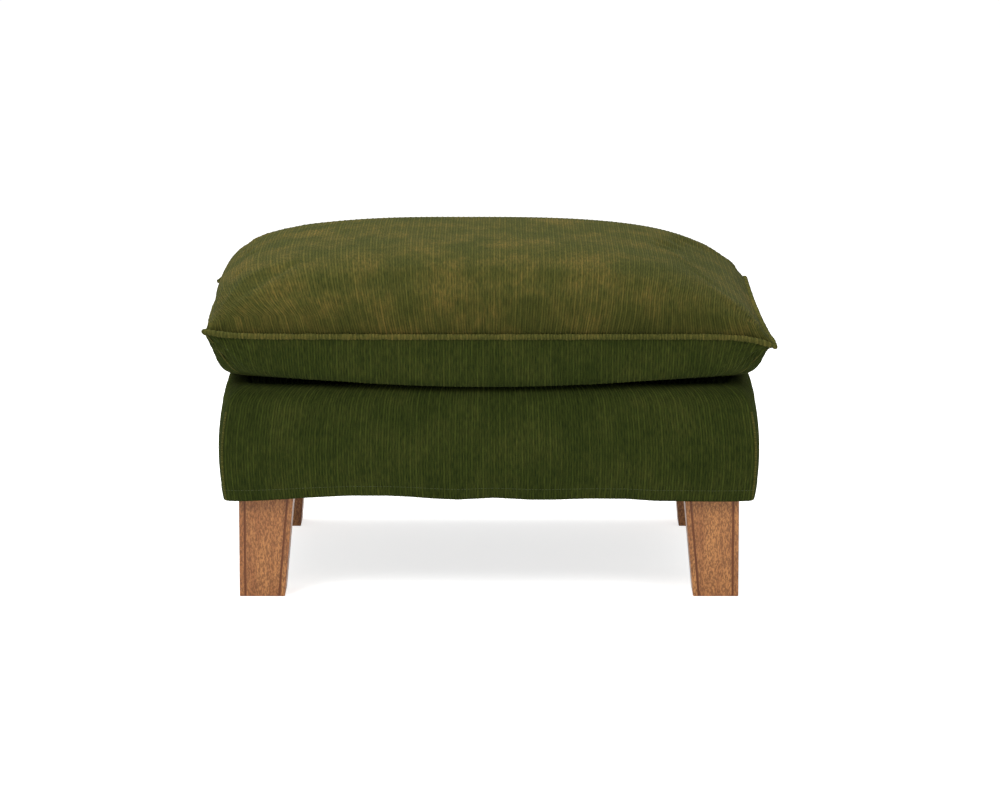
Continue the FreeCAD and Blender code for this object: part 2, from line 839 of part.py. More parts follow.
def base_nodes():
    """Padding and cover of the base."""
    nodes = {}
    reach = stand_out_bulge + base_side_bow
    padding = fused([base_sides(padding_inset), base_shoulder(padding_inset)])
    wide_x, wide_y = frame_half_x + reach, frame_half_y + reach
    nodes["base_top_foam"] = padding.common(box(-wide_x, wide_x, -wide_y, wide_y, insulator_top, base_top))
    band = padding.common(box(-wide_x, wide_x, -wide_y, wide_y, frame_bottom, insulator_top))
    band = band.cut(
        box(-frame_half_x, frame_half_x, -frame_half_y, frame_half_y, frame_bottom, insulator_top)
    )
    outer_sides = base_sides(0)
    inner_sides = base_sides(fabric_thickness)
    shell = outer_sides.cut(inner_sides)
    corner_depth = base_corner_radius
    for side in SIDES:
        wedge = side_wedge(side, frame_half_x, frame_half_y, 2 * reach, corner_depth, hem_z, base_top)
        nodes[f"base_padding_{side}"] = band.common(wedge)
        nodes[f"base_cover_{side}"] = shell.common(wedge)
    nodes["base_cover_top"] = base_shoulder(0).cut(base_shoulder(fabric_thickness))
    hooks, tabs = hem_tapes(inner_sides)
    nodes["cover_hook_tapes"] = group(hooks)
    nodes["cover_loop_tabs"] = group(tabs)
    return nodes


def cushion_nodes():
    """Filling and cover of the loose cushion."""
    nodes = {}
    filling = cushion_form(padding_inset)
    wide_x, wide_y = cushion_half_width + ear_reach, cushion_half_depth + ear_reach
    core_bottom = cushion_bottom + padding_inset + wadding_bottom_thickness
    core_top = seam_high + core_above_seam
    top = seam_high + crown_height
    nodes["cushion_wadding_bottom"] = filling.common(
        box(-wide_x, wide_x, -wide_y, wide_y, cushion_bottom, core_bottom)
    )
    core = filling.common(box(-wide_x, wide_x, -wide_y, wide_y, core_bottom, core_top))
    nodes["cushion_foam_core"] = core.cut(zip_recess())
    nodes["cushion_wadding_top"] = filling.common(box(-wide_x, wide_x, -wide_y, wide_y, core_top, top))
    nodes["cushion_top_panel"] = crown_form(0).cut(crown_form(fabric_thickness))
    boxing = boxing_form(0)
    panel_top = cushion_bottom + fabric_thickness
    nodes["cushion_bottom_panel"] = boxing.common(
        box(-wide_x, wide_x, -wide_y, wide_y, cushion_bottom, panel_top)
    )
    shell = boxing.cut(boxing_form(fabric_thickness))
    shell = shell.common(box(-wide_x, wide_x, -wide_y, wide_y, panel_top, seam_low))
    depth = boxing_lean + boxing_tuck + boxing_corner
    for side in SIDES:
        wedge = side_wedge(
            side, cushion_half_width, cushion_half_depth, ear_reach, depth, cushion_bottom, seam_low
        )
        nodes[f"cushion_boxing_{side}"] = shell.common(wedge)
    nodes["cushion_boxing_back"] = nodes["cushion_boxing_back"].cut(zip_window())
    nodes["cushion_seam_welt"] = seam_welt()
    return nodes


def zip_nodes():
    """Zip of the cushion cover."""
    return {
        "zip_tape_upper": zip_tape(1),
        "zip_tape_lower": zip_tape(-1),
        "zip_chain": zip_chain(),
        "zip_end_stops": group(zip_stops()),
        "zip_slider": zip_slider(),
        "zip_pull": zip_pull(),
    }


def main():
    """Build every node, write its STEP file and print what it measures."""
    os.makedirs("parts", exist_ok=True)
    nodes = {}
    for build in (frame_nodes, suspension_nodes, base_nodes, cushion_nodes, zip_nodes):
        nodes.update(build())
    for name, shape in sorted(nodes.items()):
        extent = shape.BoundBox
        print(
            f"{name}: {len(shape.Solids)} solid(s), {shape.Volume / 1000:.1f} cm3, valid {shape.isValid()}, "
            f"x {extent.XMin:.1f} {extent.XMax:.1f} y {extent.YMin:.1f} {extent.YMax:.1f} "
            f"z {extent.ZMin:.1f} {extent.ZMax:.1f}"
        )
        shape.exportStep(os.path.join("parts", name + ".step"))


main()
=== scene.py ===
"""Looks of the upholstered footstool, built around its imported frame.

Metres. +X to the right, +Y to the back, +Z up, the origin on the floor under the centre.
The corduroy cover, the cushion, the fillings and the tapes are modelled here. The wooden and metal
parts come from the frame and get their finish here.
"""

import logging
import math
from dataclasses import dataclass, field
from enum import Enum
from typing import Callable, Iterable, Sequence

import bmesh
import bpy
import numpy as np
from mathutils import Matrix, Vector, noise


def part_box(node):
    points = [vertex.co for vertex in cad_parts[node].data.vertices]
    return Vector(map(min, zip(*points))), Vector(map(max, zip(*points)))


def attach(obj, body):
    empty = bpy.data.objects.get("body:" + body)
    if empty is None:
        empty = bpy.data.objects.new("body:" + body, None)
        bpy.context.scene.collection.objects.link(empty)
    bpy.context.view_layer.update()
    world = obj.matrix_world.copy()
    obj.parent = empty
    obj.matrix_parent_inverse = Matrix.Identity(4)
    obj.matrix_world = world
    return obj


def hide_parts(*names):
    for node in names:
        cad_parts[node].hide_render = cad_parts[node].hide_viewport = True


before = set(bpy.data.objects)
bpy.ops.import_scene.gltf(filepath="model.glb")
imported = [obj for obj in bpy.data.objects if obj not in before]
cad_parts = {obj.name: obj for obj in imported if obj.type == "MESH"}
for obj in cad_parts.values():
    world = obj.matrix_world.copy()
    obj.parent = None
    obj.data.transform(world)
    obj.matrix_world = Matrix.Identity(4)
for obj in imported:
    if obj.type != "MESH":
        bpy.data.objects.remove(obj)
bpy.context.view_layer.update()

LOG = logging.getLogger("footstool")
MM = 0.001

# The photograph's camera
CAMERA_PLACE = (0.015, -6.2, 1.273)
CAMERA_PITCH_DEGREES = 80.41
CAMERA_LENS_MM = 159.3
SENSOR_MM = 36.0

# The cloth's cord: strong ribs at this pitch with a weaker rib between two of them
RIB_PITCH = 7.6 * MM
RIB_HEIGHT = 0.42 * MM
RIB_COLUMN = RIB_PITCH / 6
CLOTH_THICKNESS = 2.4 * MM

Place = Callable[[float, float], Vector]
Weave = Callable[[float, float], tuple[float, float]]


class Side(Enum):
    """A side of the footstool, with the directions along it and out of it."""

    FRONT = ("front", (1, 0), (0, -1))
    RIGHT = ("right", (0, 1), (1, 0))
    BACK = ("back", (-1, 0), (0, 1))
    LEFT = ("left", (0, -1), (-1, 0))

    def __init__(self, label: str, along: tuple[int, int], outward: tuple[int, int]) -> None:
        """Keep the side's name and directions."""
        self.label = label
        self.along = Vector(along)
        self.outward = Vector(outward)

    @property
    def faces_y(self) -> bool:
        """True for the front and the back."""
        return self.outward.x == 0


# Small helpers

COLOUR_MIX = {"output": 2, "data_type": "RGBA"}
EASED = {"interpolation_type": "SMOOTHSTEP"}


def smooth_step(value: float, low: float, high: float) -> float:
    """Rise from 0 at low to 1 at high with no corner at either end."""
    share = min(max((value - low) / (high - low), 0.0), 1.0)
    return share * share * (3 - 2 * share)


def linear(colour: str) -> tuple[float, float, float, float]:
    """Turn an sRGB hex colour into linear red, green, blue and an alpha of 1.

    Args:
        colour: six hex digits, such as "303817".

    Returns:
        The colour as a shader socket takes it.
    """
    parts = [int(colour[i : i + 2], 16) / 255 for i in (0, 2, 4)]
    made = [c / 12.92 if c <= 0.04045 else ((c + 0.055) / 1.055) ** 2.4 for c in parts]
    return (*made, 1.0)


def add_node(
    tree: bpy.types.NodeTree, kind: str, inputs: dict | Sequence = (), output: int | str = 0,
    **settings: object,
) -> bpy.types.NodeSocket | None:
    """Add a node, set its settings, and link or set its inputs.

    Args:
        tree: the node tree that takes it.
        kind: the node's type name without its ShaderNode prefix.
        inputs: values, or the sockets that feed it, in order or by socket name or number.
        output: name or number of the output to give back.
        settings: the node's own properties.

    Returns:
        That output, or None from a node that has none.
    """
    node = tree.nodes.new("ShaderNode" + kind)
    for name, value in settings.items():
        setattr(node, name, value)
    for name, value in inputs.items() if isinstance(inputs, dict) else enumerate(inputs):
        if isinstance(value, bpy.types.NodeSocket):
            tree.links.new(value, node.inputs[name])
        else:
            node.inputs[name].default_value = value
    return node.outputs[output] if node.outputs else None


def cloud(
    tree: bpy.types.NodeTree, vector: bpy.types.NodeSocket, scale: Sequence[float],
    detail: float = 3.0, roughness: float = 0.55,
) -> bpy.types.NodeSocket:
    """Soft uneven pattern whose grain is 1 / scale metres wide along each axis.

    Args:
        tree: the node tree that takes it.
        vector: the coordinates that it follows.
        scale: grains to the metre along each axis.
        detail: number of finer layers.
        roughness: strength of the finer layers.

    Returns:
        A socket from 0 to 1.
    """
    mapped = add_node(tree, "Mapping", {"Vector": vector, "Scale": scale})
    grain = {"Vector": mapped, "Scale": 1.0, "Detail": detail, "Roughness": roughness}
    return add_node(tree, "TexNoise", grain, output="Fac")


def cleared_tree(owner: bpy.types.Material | bpy.types.World) -> bpy.types.NodeTree:
    """Give a material or a world an empty node tree.

    Args:
        owner: the material or the world.

    Returns:
        Its node tree.
    """
    owner.use_nodes = True
    owner.node_tree.nodes.clear()
    return owner.node_tree


def shade(tree: bpy.types.NodeTree, **inputs: object) -> None:
    """Put the finished shader, with these inputs, on a material's output.

    Args:
        tree: the material's node tree.
        inputs: the shader's inputs, with _ for a space in their names.
    """
    named = {name.replace("_", " "): value for name, value in inputs.items()}
    shader = add_node(tree, "BsdfPrincipled", named)
    add_node(tree, "OutputMaterial", {"Surface": shader})


# Finishes


@dataclass(frozen=True)
class Corduroy:
    """Cotton corduroy, woven and cut: soft ribs of pile that catch light along their tops.

    The light along the rib tops is a painted highlight, and the grooves between them carry painted shade.
    The pile is nearly matt. It brightens at grazing angles and shows a painted brown sheen where the pile is
    pressed flat.
    """

    name: str
    pile: str
    # Painted shade in the grooves between the ribs.
    groove_shade: str
    # Pile pressed flat, shown with a painted brown sheen: its colour and how much of the cloth it covers.
    crushed_sheen: str
    crushed_sheen_share: float = 0.3
    bloom: str = "59684A"
    wander: float = 1.0 * MM

    def ribs(
        self, tree: bpy.types.NodeTree, weave: bpy.types.NodeSocket, place: bpy.types.NodeSocket
    ) -> bpy.types.NodeSocket:
        """Height of the ribs, which wander a little from straight, from 0 to 1.

        Args:
            tree: the node tree that takes it.
            weave: the cloth coordinates.
            place: the piece's own coordinates.

        Returns:
            A socket from 0 to 1.
        """
        drift = cloud(tree, place, (6.0, 6.0, 6.0), detail=1.0)
        drift = add_node(tree, "Math", (drift, 0.5), operation="SUBTRACT")
        across = add_node(tree, "SeparateXYZ", (weave,))
        across = add_node(tree, "Math", (drift, self.wander, across), operation="MULTIPLY_ADD")
        turn = add_node(tree, "Math", (across, 2 * math.pi / RIB_PITCH), operation="MULTIPLY")
        strong = add_node(tree, "Math", (turn,), operation="COSINE")
        twice = add_node(tree, "Math", (turn, 2.0), operation="MULTIPLY")
        weak = add_node(tree, "Math", (twice,), operation="COSINE")
        weak = add_node(tree, "Math", (weak, 0.3, 0.5), operation="MULTIPLY_ADD")
        return add_node(tree, "Math", (strong, 0.2, weak), operation="MULTIPLY_ADD")

    def material(self) -> bpy.types.Material:
        """Make the cloth: painted rib highlight and shade, pile streaks, pressed-flat patches with painted
        sheen, shader sheen and bump.

        Returns:
            The material, which reads the piece's own weave coordinates.
        """
        material = bpy.data.materials.new(self.name)
        tree = cleared_tree(material)
        weave = add_node(tree, "UVMap", uv_map="weave")
        place = add_node(tree, "TexCoord", output="Object")
        rib = self.ribs(tree, weave, place)
        streak = cloud(tree, weave, (1000.0, 90.0, 1.0), detail=3.0, roughness=0.6)
        speck = cloud(tree, weave, (1100.0, 700.0, 1.0), detail=2.0)
        patches = cloud(tree, place, (15.0, 12.0, 15.0), detail=4.0, roughness=0.65)
        mottled = cloud(tree, weave, (240.0, 70.0, 1.0), detail=3.0, roughness=0.65)
        brushed = cloud(tree, weave, (150.0, 13.0, 1.0), detail=2.0)
        brushed = add_node(tree, "MapRange", (brushed, 0.35, 0.66, 0.3, 1.0), **EASED)
        crest = add_node(tree, "MapRange", (rib, 0.15, 0.95), **EASED)
        crest = add_node(tree, "Math", (crest, brushed), operation="MULTIPLY")
        hairs = add_node(tree, "MapRange", (streak, 0.3, 0.7), **EASED)
        hairs = add_node(tree, "Math", (hairs, 0.5), operation="MULTIPLY")
        lit = add_node(tree, "Math", (crest, 0.5, hairs), operation="MULTIPLY_ADD")
        # Patches where the pile is pressed flat, shown as a painted brown sheen that is strongest on the lit
        # rib tops.
        crushed_sheen_mask = add_node(tree, "MapRange", (patches, 0.38, 0.72, 0.08, self.crushed_sheen_share), **EASED)
        for pattern in ((mottled, 0.3, 0.62, 0.2, 1.0), (lit, 0.1, 0.8, 0.3, 1.0)):
            part = add_node(tree, "MapRange", pattern, **EASED)
            crushed_sheen_mask = add_node(tree, "Math", (crushed_sheen_mask, part), operation="MULTIPLY")
        # Painted highlight along the rib tops and painted shade in the grooves between them, with pile
        # streaks.
        colour = add_node(tree, "Mix", {0: lit, 6: linear(self.groove_shade), 7: linear(self.pile)}, **COLOUR_MIX)
        colour = add_node(tree, "Mix", {0: crushed_sheen_mask, 6: colour, 7: linear(self.crushed_sheen)}, **COLOUR_MIX)
        for pattern, dim, bright in (
            (speck, (0.84, 0.84, 0.84, 1), (1.14, 1.14, 1.14, 1)),
            (patches, (0.86, 0.88, 0.86, 1), (1.12, 1.1, 1.12, 1)),
        ):
            share = add_node(tree, "MapRange", (pattern, 0.3, 0.7), **EASED)
            tone = add_node(tree, "Mix", {0: share, 6: dim, 7: bright}, **COLOUR_MIX)
            colour = add_node(tree, "Mix", {0: 1.0, 6: colour, 7: tone}, **COLOUR_MIX, blend_type="MULTIPLY")
        fuzz = add_node(tree, "Math", (streak, speck), operation="ADD")
        height = add_node(tree, "Math", (fuzz, 0.45, rib), operation="MULTIPLY_ADD")
        normal = add_node(tree, "Bump", {"Height": height, "Distance": 0.8 * MM, "Strength": 0.9})
        shade(
            tree, Base_Color=colour, Roughness=0.95, Specular_IOR_Level=0.05, Sheen_Weight=0.12,
            Sheen_Roughness=0.45, Sheen_Tint=linear(self.bloom), Normal=normal,
        )
        return material


@dataclass(frozen=True)
class Legs:
    """Square legs, tapered on their inner sides, with two routed grooves on each outer face."""

    top: float = 75 * MM
    foot: float = 62 * MM
    height: float = 144.4 * MM
    groove_inset: float = 8 * MM
    groove_width: float = 2.6 * MM
    groove_depth: float = 1.6 * MM


@dataclass(frozen=True)
class StainedHardwood:
    """Stained beech, planed and lacquered: warm brown with short dark pores along the grain.

    The routed grooves hold darker stain, and their colour also carries painted shade.
    """

    name: str
    light: str
    dark: str
    pore: str
    # Colour in the routed grooves: darker stain with painted shade.
    groove_shade: str
    half_x: float
    half_y: float
    roughness: float = 0.42

    def groove_mask(
        self, tree: bpy.types.NodeTree, across: bpy.types.NodeSocket, deep: bpy.types.NodeSocket,
        height: bpy.types.NodeSocket, half_across: float, half_deep: float, legs: Legs,
    ) -> bpy.types.NodeSocket:
        """Share of a point that lies in one of the two grooves of one face.

        Args:
            tree: the material's node tree.
            across: distance from the centre along the face.
            deep: distance from the centre out to the face.
            height: height over the floor.
            half_across: the frame's half size along the face.
            half_deep: the frame's half size out to the face.
            legs: the legs' sizes.

        Returns:
            A socket from 0 to 1.
        """
        inner_top = half_across - legs.top + legs.groove_inset
        slope = (legs.top - legs.foot) / legs.height
        below = add_node(tree, "Math", (legs.height, height), operation="SUBTRACT")
        inner = add_node(tree, "Math", (below, slope, inner_top), operation="MULTIPLY_ADD")
        edge = legs.groove_width * 0.45, legs.groove_width * 0.75, 1.0, 0.0
        masks = []
        for centre in (half_across - legs.groove_inset, inner):
            off = add_node(tree, "Math", (across, centre), operation="SUBTRACT")
            off = add_node(tree, "Math", (off,), operation="ABSOLUTE")
            masks.append(add_node(tree, "MapRange", (off, *edge), **EASED))
        either = add_node(tree, "Math", masks, operation="MAXIMUM")
        skin = half_deep - 2.2 * legs.groove_depth, half_deep - 1.6 * legs.groove_depth
        near = add_node(tree, "MapRange", (deep, *skin), **EASED)
        return add_node(tree, "Math", (either, near), operation="MULTIPLY")

    def material(self, legs: Legs) -> bpy.types.Material:
        """Make the wood for the legs, with its grain upright.

        Args:
            legs: the sizes of the legs and their grooves.

        Returns:
            The material.
        """
        material = bpy.data.materials.new(self.name)
        tree = cleared_tree(material)
        place = add_node(tree, "TexCoord", output="Object")
        parts = add_node(tree, "SeparateXYZ", (place,)).node.outputs
        x = add_node(tree, "Math", (parts[0],), operation="ABSOLUTE")
        y = add_node(tree, "Math", (parts[1],), operation="ABSOLUTE")
        band = cloud(tree, place, (70.0, 70.0, 9.0), detail=3.0, roughness=0.6)
        fleck = cloud(tree, place, (560.0, 560.0, 230.0), detail=2.5, roughness=0.65)
        pores = cloud(tree, place, (700.0, 700.0, 150.0), detail=1.5, roughness=0.5)
        band = add_node(tree, "MapRange", (band, 0.3, 0.7), **EASED)
        colour = add_node(tree, "Mix", {0: band, 6: linear(self.dark), 7: linear(self.light)}, **COLOUR_MIX)
        for pattern in ((fleck, 0.4, 0.6, 0.7, 0.0), (pores, 0.58, 0.72, 0.0, 0.45)):
            share = add_node(tree, "MapRange", pattern, **EASED)
            colour = add_node(tree, "Mix", {0: share, 6: colour, 7: linear(self.pore)}, **COLOUR_MIX)
        routed = add_node(tree, "Math", (
            self.groove_mask(tree, x, y, parts[2], self.half_x, self.half_y, legs),
            self.groove_mask(tree, y, x, parts[2], self.half_y, self.half_x, legs),
        ), operation="MAXIMUM")
        # Darker stain in the routed grooves, together with painted shade.
        colour = add_node(tree, "Mix", {0: routed, 6: colour, 7: linear(self.groove_shade)}, **COLOUR_MIX)
        height = add_node(tree, "Math", (fleck, pores), operation="SUBTRACT")
        normal = add_node(tree, "Bump", {"Height": height, "Distance": 0.15 * MM, "Strength": 0.6})
        shade(
            tree, Base_Color=colour, Roughness=self.roughness, Specular_IOR_Level=0.35, Coat_Weight=0.12,
            Coat_Roughness=0.35, Normal=normal,
        )
        return material


@dataclass(frozen=True)
class SawnSoftwood:
    """Kiln-dried pine, sawn and planed: pale yellow with broad growth rings along the board."""

    name: str
    light: str
    dark: str
    ring_width: float = 9 * MM

    def material(self) -> bpy.types.Material:
        """Make the hidden frame's wood.

        Returns:
            The material.
        """
        material = bpy.data.materials.new(self.name)
        tree = cleared_tree(material)
        place = add_node(tree, "TexCoord", output="Object")
        warp = cloud(tree, place, (5.0, 5.0, 14.0), detail=2.0)
        warp = add_node(tree, "Math", (warp, 16.0), operation="MULTIPLY")
        height = add_node(tree, "SeparateXYZ", (place,), output=2)
        turn = add_node(tree, "Math", (height, 2 * math.pi / self.ring_width, warp), operation="MULTIPLY_ADD")
        rings = add_node(tree, "Math", (turn,), operation="SINE")
        rings = add_node(tree, "MapRange", (rings, -0.6, 1.0, 0.0, 0.6), **EASED)
        fibre = cloud(tree, place, (60.0, 60.0, 900.0), detail=3.0)
        share = add_node(tree, "Math", (fibre, 0.5, rings), operation="MULTIPLY_ADD")
        colour = add_node(tree, "Mix", {0: share, 6: linear(self.light), 7: linear(self.dark)}, **COLOUR_MIX)
        normal = add_node(tree, "Bump", {"Height": fibre, "Distance": 0.2 * MM, "Strength": 0.5})
        shade(tree, Base_Color=colour, Roughness=0.7, Normal=normal)
        return material


@dataclass(frozen=True)
class PlainMetal:
    """Drawn or stamped metal: fine marks along it and a slightly uneven shine."""

    name: str
    colour: str
    tarnish: str
    roughness: float = 0.35

    def material(self) -> bpy.types.Material:
        """Make the metal.

        Returns:
            The material.
        """
        material = bpy.data.materials.new(self.name)
        tree = cleared_tree(material)
        place = add_node(tree, "TexCoord", output="Object")
        spots = cloud(tree, place, (140.0, 140.0, 140.0), detail=4.0, roughness=0.7)
        marks = cloud(tree, place, (300.0, 3000.0, 3000.0), detail=2.0)
        share = add_node(tree, "MapRange", (spots, 0.45, 0.75, 0.0, 0.7), **EASED)
        colours = linear(self.colour), linear(self.tarnish)
        colour = add_node(tree, "Mix", {0: share, 6: colours[0], 7: colours[1]}, **COLOUR_MIX)
        shine = self.roughness * 0.8, min(self.roughness * 1.5, 1.0)
        rough = add_node(tree, "MapRange", (spots, 0.3, 0.8, *shine), **EASED)
        normal = add_node(tree, "Bump", {"Height": marks, "Distance": 0.03 * MM, "Strength": 0.4})
        shade(tree, Base_Color=colour, Metallic=1.0, Roughness=rough, Normal=normal)
        return material


@dataclass(frozen=True)
class WovenCloth:
    """Plain-woven or needled cloth: a fine grid of threads, matt, a little uneven in tone."""

    name: str
    light: str
    dark: str
    thread: float = 0.9 * MM
    fuzz: float = 0.4

    def material(self) -> bpy.types.Material:
        """Make the cloth. Its threads are drawn as coarse as they need to show.

        Returns:
            The material.
        """
        material = bpy.data.materials.new(self.name)
        tree = cleared_tree(material)
        place = add_node(tree, "TexCoord", output="Object")
        waves = []
        for part in add_node(tree, "SeparateXYZ", (place,)).node.outputs:
            turn = add_node(tree, "Math", (part, 2 * math.pi / self.thread), operation="MULTIPLY")
            waves.append(add_node(tree, "Math", (turn,), operation="SINE"))
        level = add_node(tree, "Math", (waves[0], waves[2]), operation="ADD")
        grid = add_node(tree, "Math", (level, waves[1]), operation="MULTIPLY")
        grid = add_node(tree, "MapRange", (grid, -1.2, 1.2, 0.0, 1.0 - self.fuzz), **EASED)
        lint = cloud(tree, place, (700.0, 700.0, 700.0), detail=3.0, roughness=0.7)
        share = add_node(tree, "Math", (lint, self.fuzz, grid), operation="MULTIPLY_ADD")
        colour = add_node(tree, "Mix", {0: share, 6: linear(self.dark), 7: linear(self.light)}, **COLOUR_MIX)
        normal = add_node(tree, "Bump", {"Height": share, "Distance": 0.3 * MM, "Strength": 0.8})
        shade(
            tree, Base_Color=colour, Roughness=0.9, Specular_IOR_Level=0.15, Sheen_Weight=0.2, Normal=normal
        )
        return material


@dataclass(frozen=True)
class SoftFill:
    """Cut foam or carded fibre: pale, matt and pitted or fluffy at its own grain size."""

    name: str
    light: str
    dark: str
    grain: float = 1.5 * MM
    depth: float = 0.6 * MM

    def material(self) -> bpy.types.Material:
        """Make the filling.

        Returns:
            The material.
        """
        material = bpy.data.materials.new(self.name)
        tree = cleared_tree(material)
        place = add_node(tree, "TexCoord", output="Object")
        pits = cloud(tree, place, (1 / self.grain,) * 3, detail=3.0, roughness=0.6)
        broad = cloud(tree, place, (22.0, 22.0, 22.0), detail=2.0)
        fine = add_node(tree, "Math", (pits, 0.8), operation="MULTIPLY")
        share = add_node(tree, "Math", (broad, 0.3, fine), operation="MULTIPLY_ADD")
        colour = add_node(tree, "Mix", {0: share, 6: linear(self.dark), 7: linear(self.light)}, **COLOUR_MIX)
        normal = add_node(tree, "Bump", {"Height": pits, "Distance": self.depth, "Strength": 0.9})
        shade(tree, Base_Color=colour, Roughness=0.95, Normal=normal)
        return material


# Mesh making


def new_piece(name: str, shape: bmesh.types.BMesh, material: bpy.types.Material) -> bpy.types.Object:
    """Turn a finished bmesh into a smooth-shaded object at the origin.

    Args:
        name: the piece's name.
        shape: the bmesh, which is freed.
        material: its finish.

    Returns:
        The object, linked to the scene.
    """
    mesh = bpy.data.meshes.new(name)
    shape.to_mesh(mesh)
    shape.free()
    mesh.shade_smooth()
    mesh.materials.append(material)
    piece = bpy.data.objects.new(name, mesh)
    bpy.context.scene.collection.objects.link(piece)
    return piece


def fit(piece: bpy.types.Object, body: str, node: str = "") -> None:
    """Let a piece ride on a body, in place of a frame node where one is named.

    Args:
        piece: the piece.
        body: the body that carries it.
        node: the frame node that it stands for.
    """
    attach(piece, body)
    if node:
        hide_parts(node)


def give_thickness(piece: bpy.types.Object, thickness: float = CLOTH_THICKNESS) -> None:
    """Thicken a sheet inwards from its outer face.

    Args:
        piece: the sheet.
        thickness: the cloth's thickness.
    """
    shell = piece.modifiers.new("Thickness", "SOLIDIFY")
    shell.thickness = thickness
    shell.offset = -1.0


def shaped_grid(
    columns: int, rows: int, place: Place, weave: Weave | None = None,
    outward_from: Vector | None = None, relief: Callable[[float, float], float] | None = None,
) -> bmesh.types.BMesh:
    """Grid of faces whose points are moved to a surface.

    Args:
        columns: faces across.
        rows: faces along.
        place: surface point for two shares, each from -1 to 1.
        weave: cloth coordinates in metres for the same two shares.
        outward_from: a point behind the surface, which the faces turn away from.
        relief: extra height along the surface normal for the same two shares.

    Returns:
        The bmesh.
    """
    shape = bmesh.new()
    bmesh.ops.create_grid(shape, x_segments=columns, y_segments=rows, size=1.0)
    shares = [(vert.co.x, vert.co.y) for vert in shape.verts]
    shape.verts.index_update()
    if weave is not None:
        layer = shape.loops.layers.uv.new("weave")
        cloth = [weave(*share) for share in shares]
        for face in shape.faces:
            for loop in face.loops:
                loop[layer].uv = cloth[loop.vert.index]
    for vert, share in zip(shape.verts, shares):
        vert.co = place(*share)
    shape.normal_update()
    if outward_from is not None:
        facing = sum(face.normal.dot(face.calc_center_median() - outward_from) for face in shape.faces)
        if facing < 0:
            bmesh.ops.reverse_faces(shape, faces=shape.faces)
            shape.normal_update()
    if relief is not None:
        raised = [vert.normal * relief(*share) for vert, share in zip(shape.verts, shares)]
        for vert, step in zip(shape.verts, raised):
            vert.co += step
    return shape


def rib_relief(across: float) -> float:
    """Height of the cord's ribs at a distance across the cloth, strong and weak ones in turn."""
    turn = 2 * math.pi * across / RIB_PITCH
    return RIB_HEIGHT * (0.45 * math.cos(turn) + 0.55 * math.cos(2 * turn))


def ring_point(
    side: Side, share: float, half_x: float, half_y: float, radius: float, bow: float = 0.0,
    fullness: float = 2.0,
) -> tuple[Vector, float]:
    """Point on one side of a rounded rectangle, up to the middle of its two corners.

    Args:
        side: the side.
        share: place along it, from -1 to 1.
        half_x: half the rectangle's width.
        half_y: half its depth.
        radius: corner radius.
        bow: how far the side stands out at its middle.
        fullness: how far the bow reaches towards the corners, 2 for an even curve.

    Returns:
        The point, and its distance along the side from the middle.
    """
    half_along, half_out = (half_x, half_y) if side.faces_y else (half_y, half_x)
    straight = half_along - radius
    run = share * (straight + radius * math.pi / 4)
    if abs(run) <= straight:
        along, out = run, half_out + bow * (1 - abs(run / straight) ** fullness)
    else:
        turn = (abs(run) - straight) / radius
        along = math.copysign(straight + radius * math.sin(turn), run)
        out = half_out - radius * (1 - math.cos(turn))
    return side.along * along + side.outward * out, run


def rounded_in(x: float, y: float, half_x: float, half_y: float, radius: float) -> tuple[float, float]:
    """Move a point of a rectangle so that the rectangle's corners become round.

    Args:
        x: place across.
        y: place from front to back.
        half_x: half the rectangle's width.
        half_y: half its depth.
        radius: corner radius.

    Returns:
        The moved place.
    """
    a = (abs(x) - half_x + radius) / radius
    b = (abs(y) - half_y + radius) / radius
    if a <= 0 or b <= 0:
        return x, y
    x1 = half_x - radius + radius * a * math.sqrt(1 - b * b / 2)
    y1 = half_y - radius + radius * b * math.sqrt(1 - a * a / 2)
    return math.copysign(x1, x), math.copysign(y1, y)


def seam_tube(
    point_at: Callable[[float], Vector], stations: int, half_width: float, proud: float
) -> bmesh.types.BMesh:
    """Raised seam along an upright corner, with a slight knot at every stitch.

    Args:
        point_at: point of the corner for a share from 0 to 1.
        stations: steps along it.
        half_width: half its width.
        proud: how far it stands out.

    Returns:
        The bmesh, closed at both ends.
    """

    def place(s: float, t: float) -> Vector:
        """Point of the tube's face."""
        point = point_at((t + 1) / 2)
        out = Vector((math.copysign(1, point.x), math.copysign(1, point.y), 0)).normalized()
        across = Vector((-out.y, out.x, 0))
        turn = math.pi * s
        knot = 1 + 0.1 * math.cos(math.pi * t * stations / 4)
        return point + (out * math.cos(turn) * proud + across * math.sin(turn) * half_width) * knot

    shape = shaped_grid(10, stations, place, lambda s, t: (t * 0.07, s * 0.008))
    bmesh.ops.remove_doubles(shape, verts=shape.verts, dist=1e-5)
    bmesh.ops.holes_fill(shape, edges=[edge for edge in shape.edges if edge.is_boundary])
    bmesh.ops.recalc_face_normals(shape, faces=shape.faces)
    return shape


def columns_for(width: float) -> int:
    """Faces across a panel so that every rib has its columns."""
    return max(8, round(width / RIB_COLUMN))


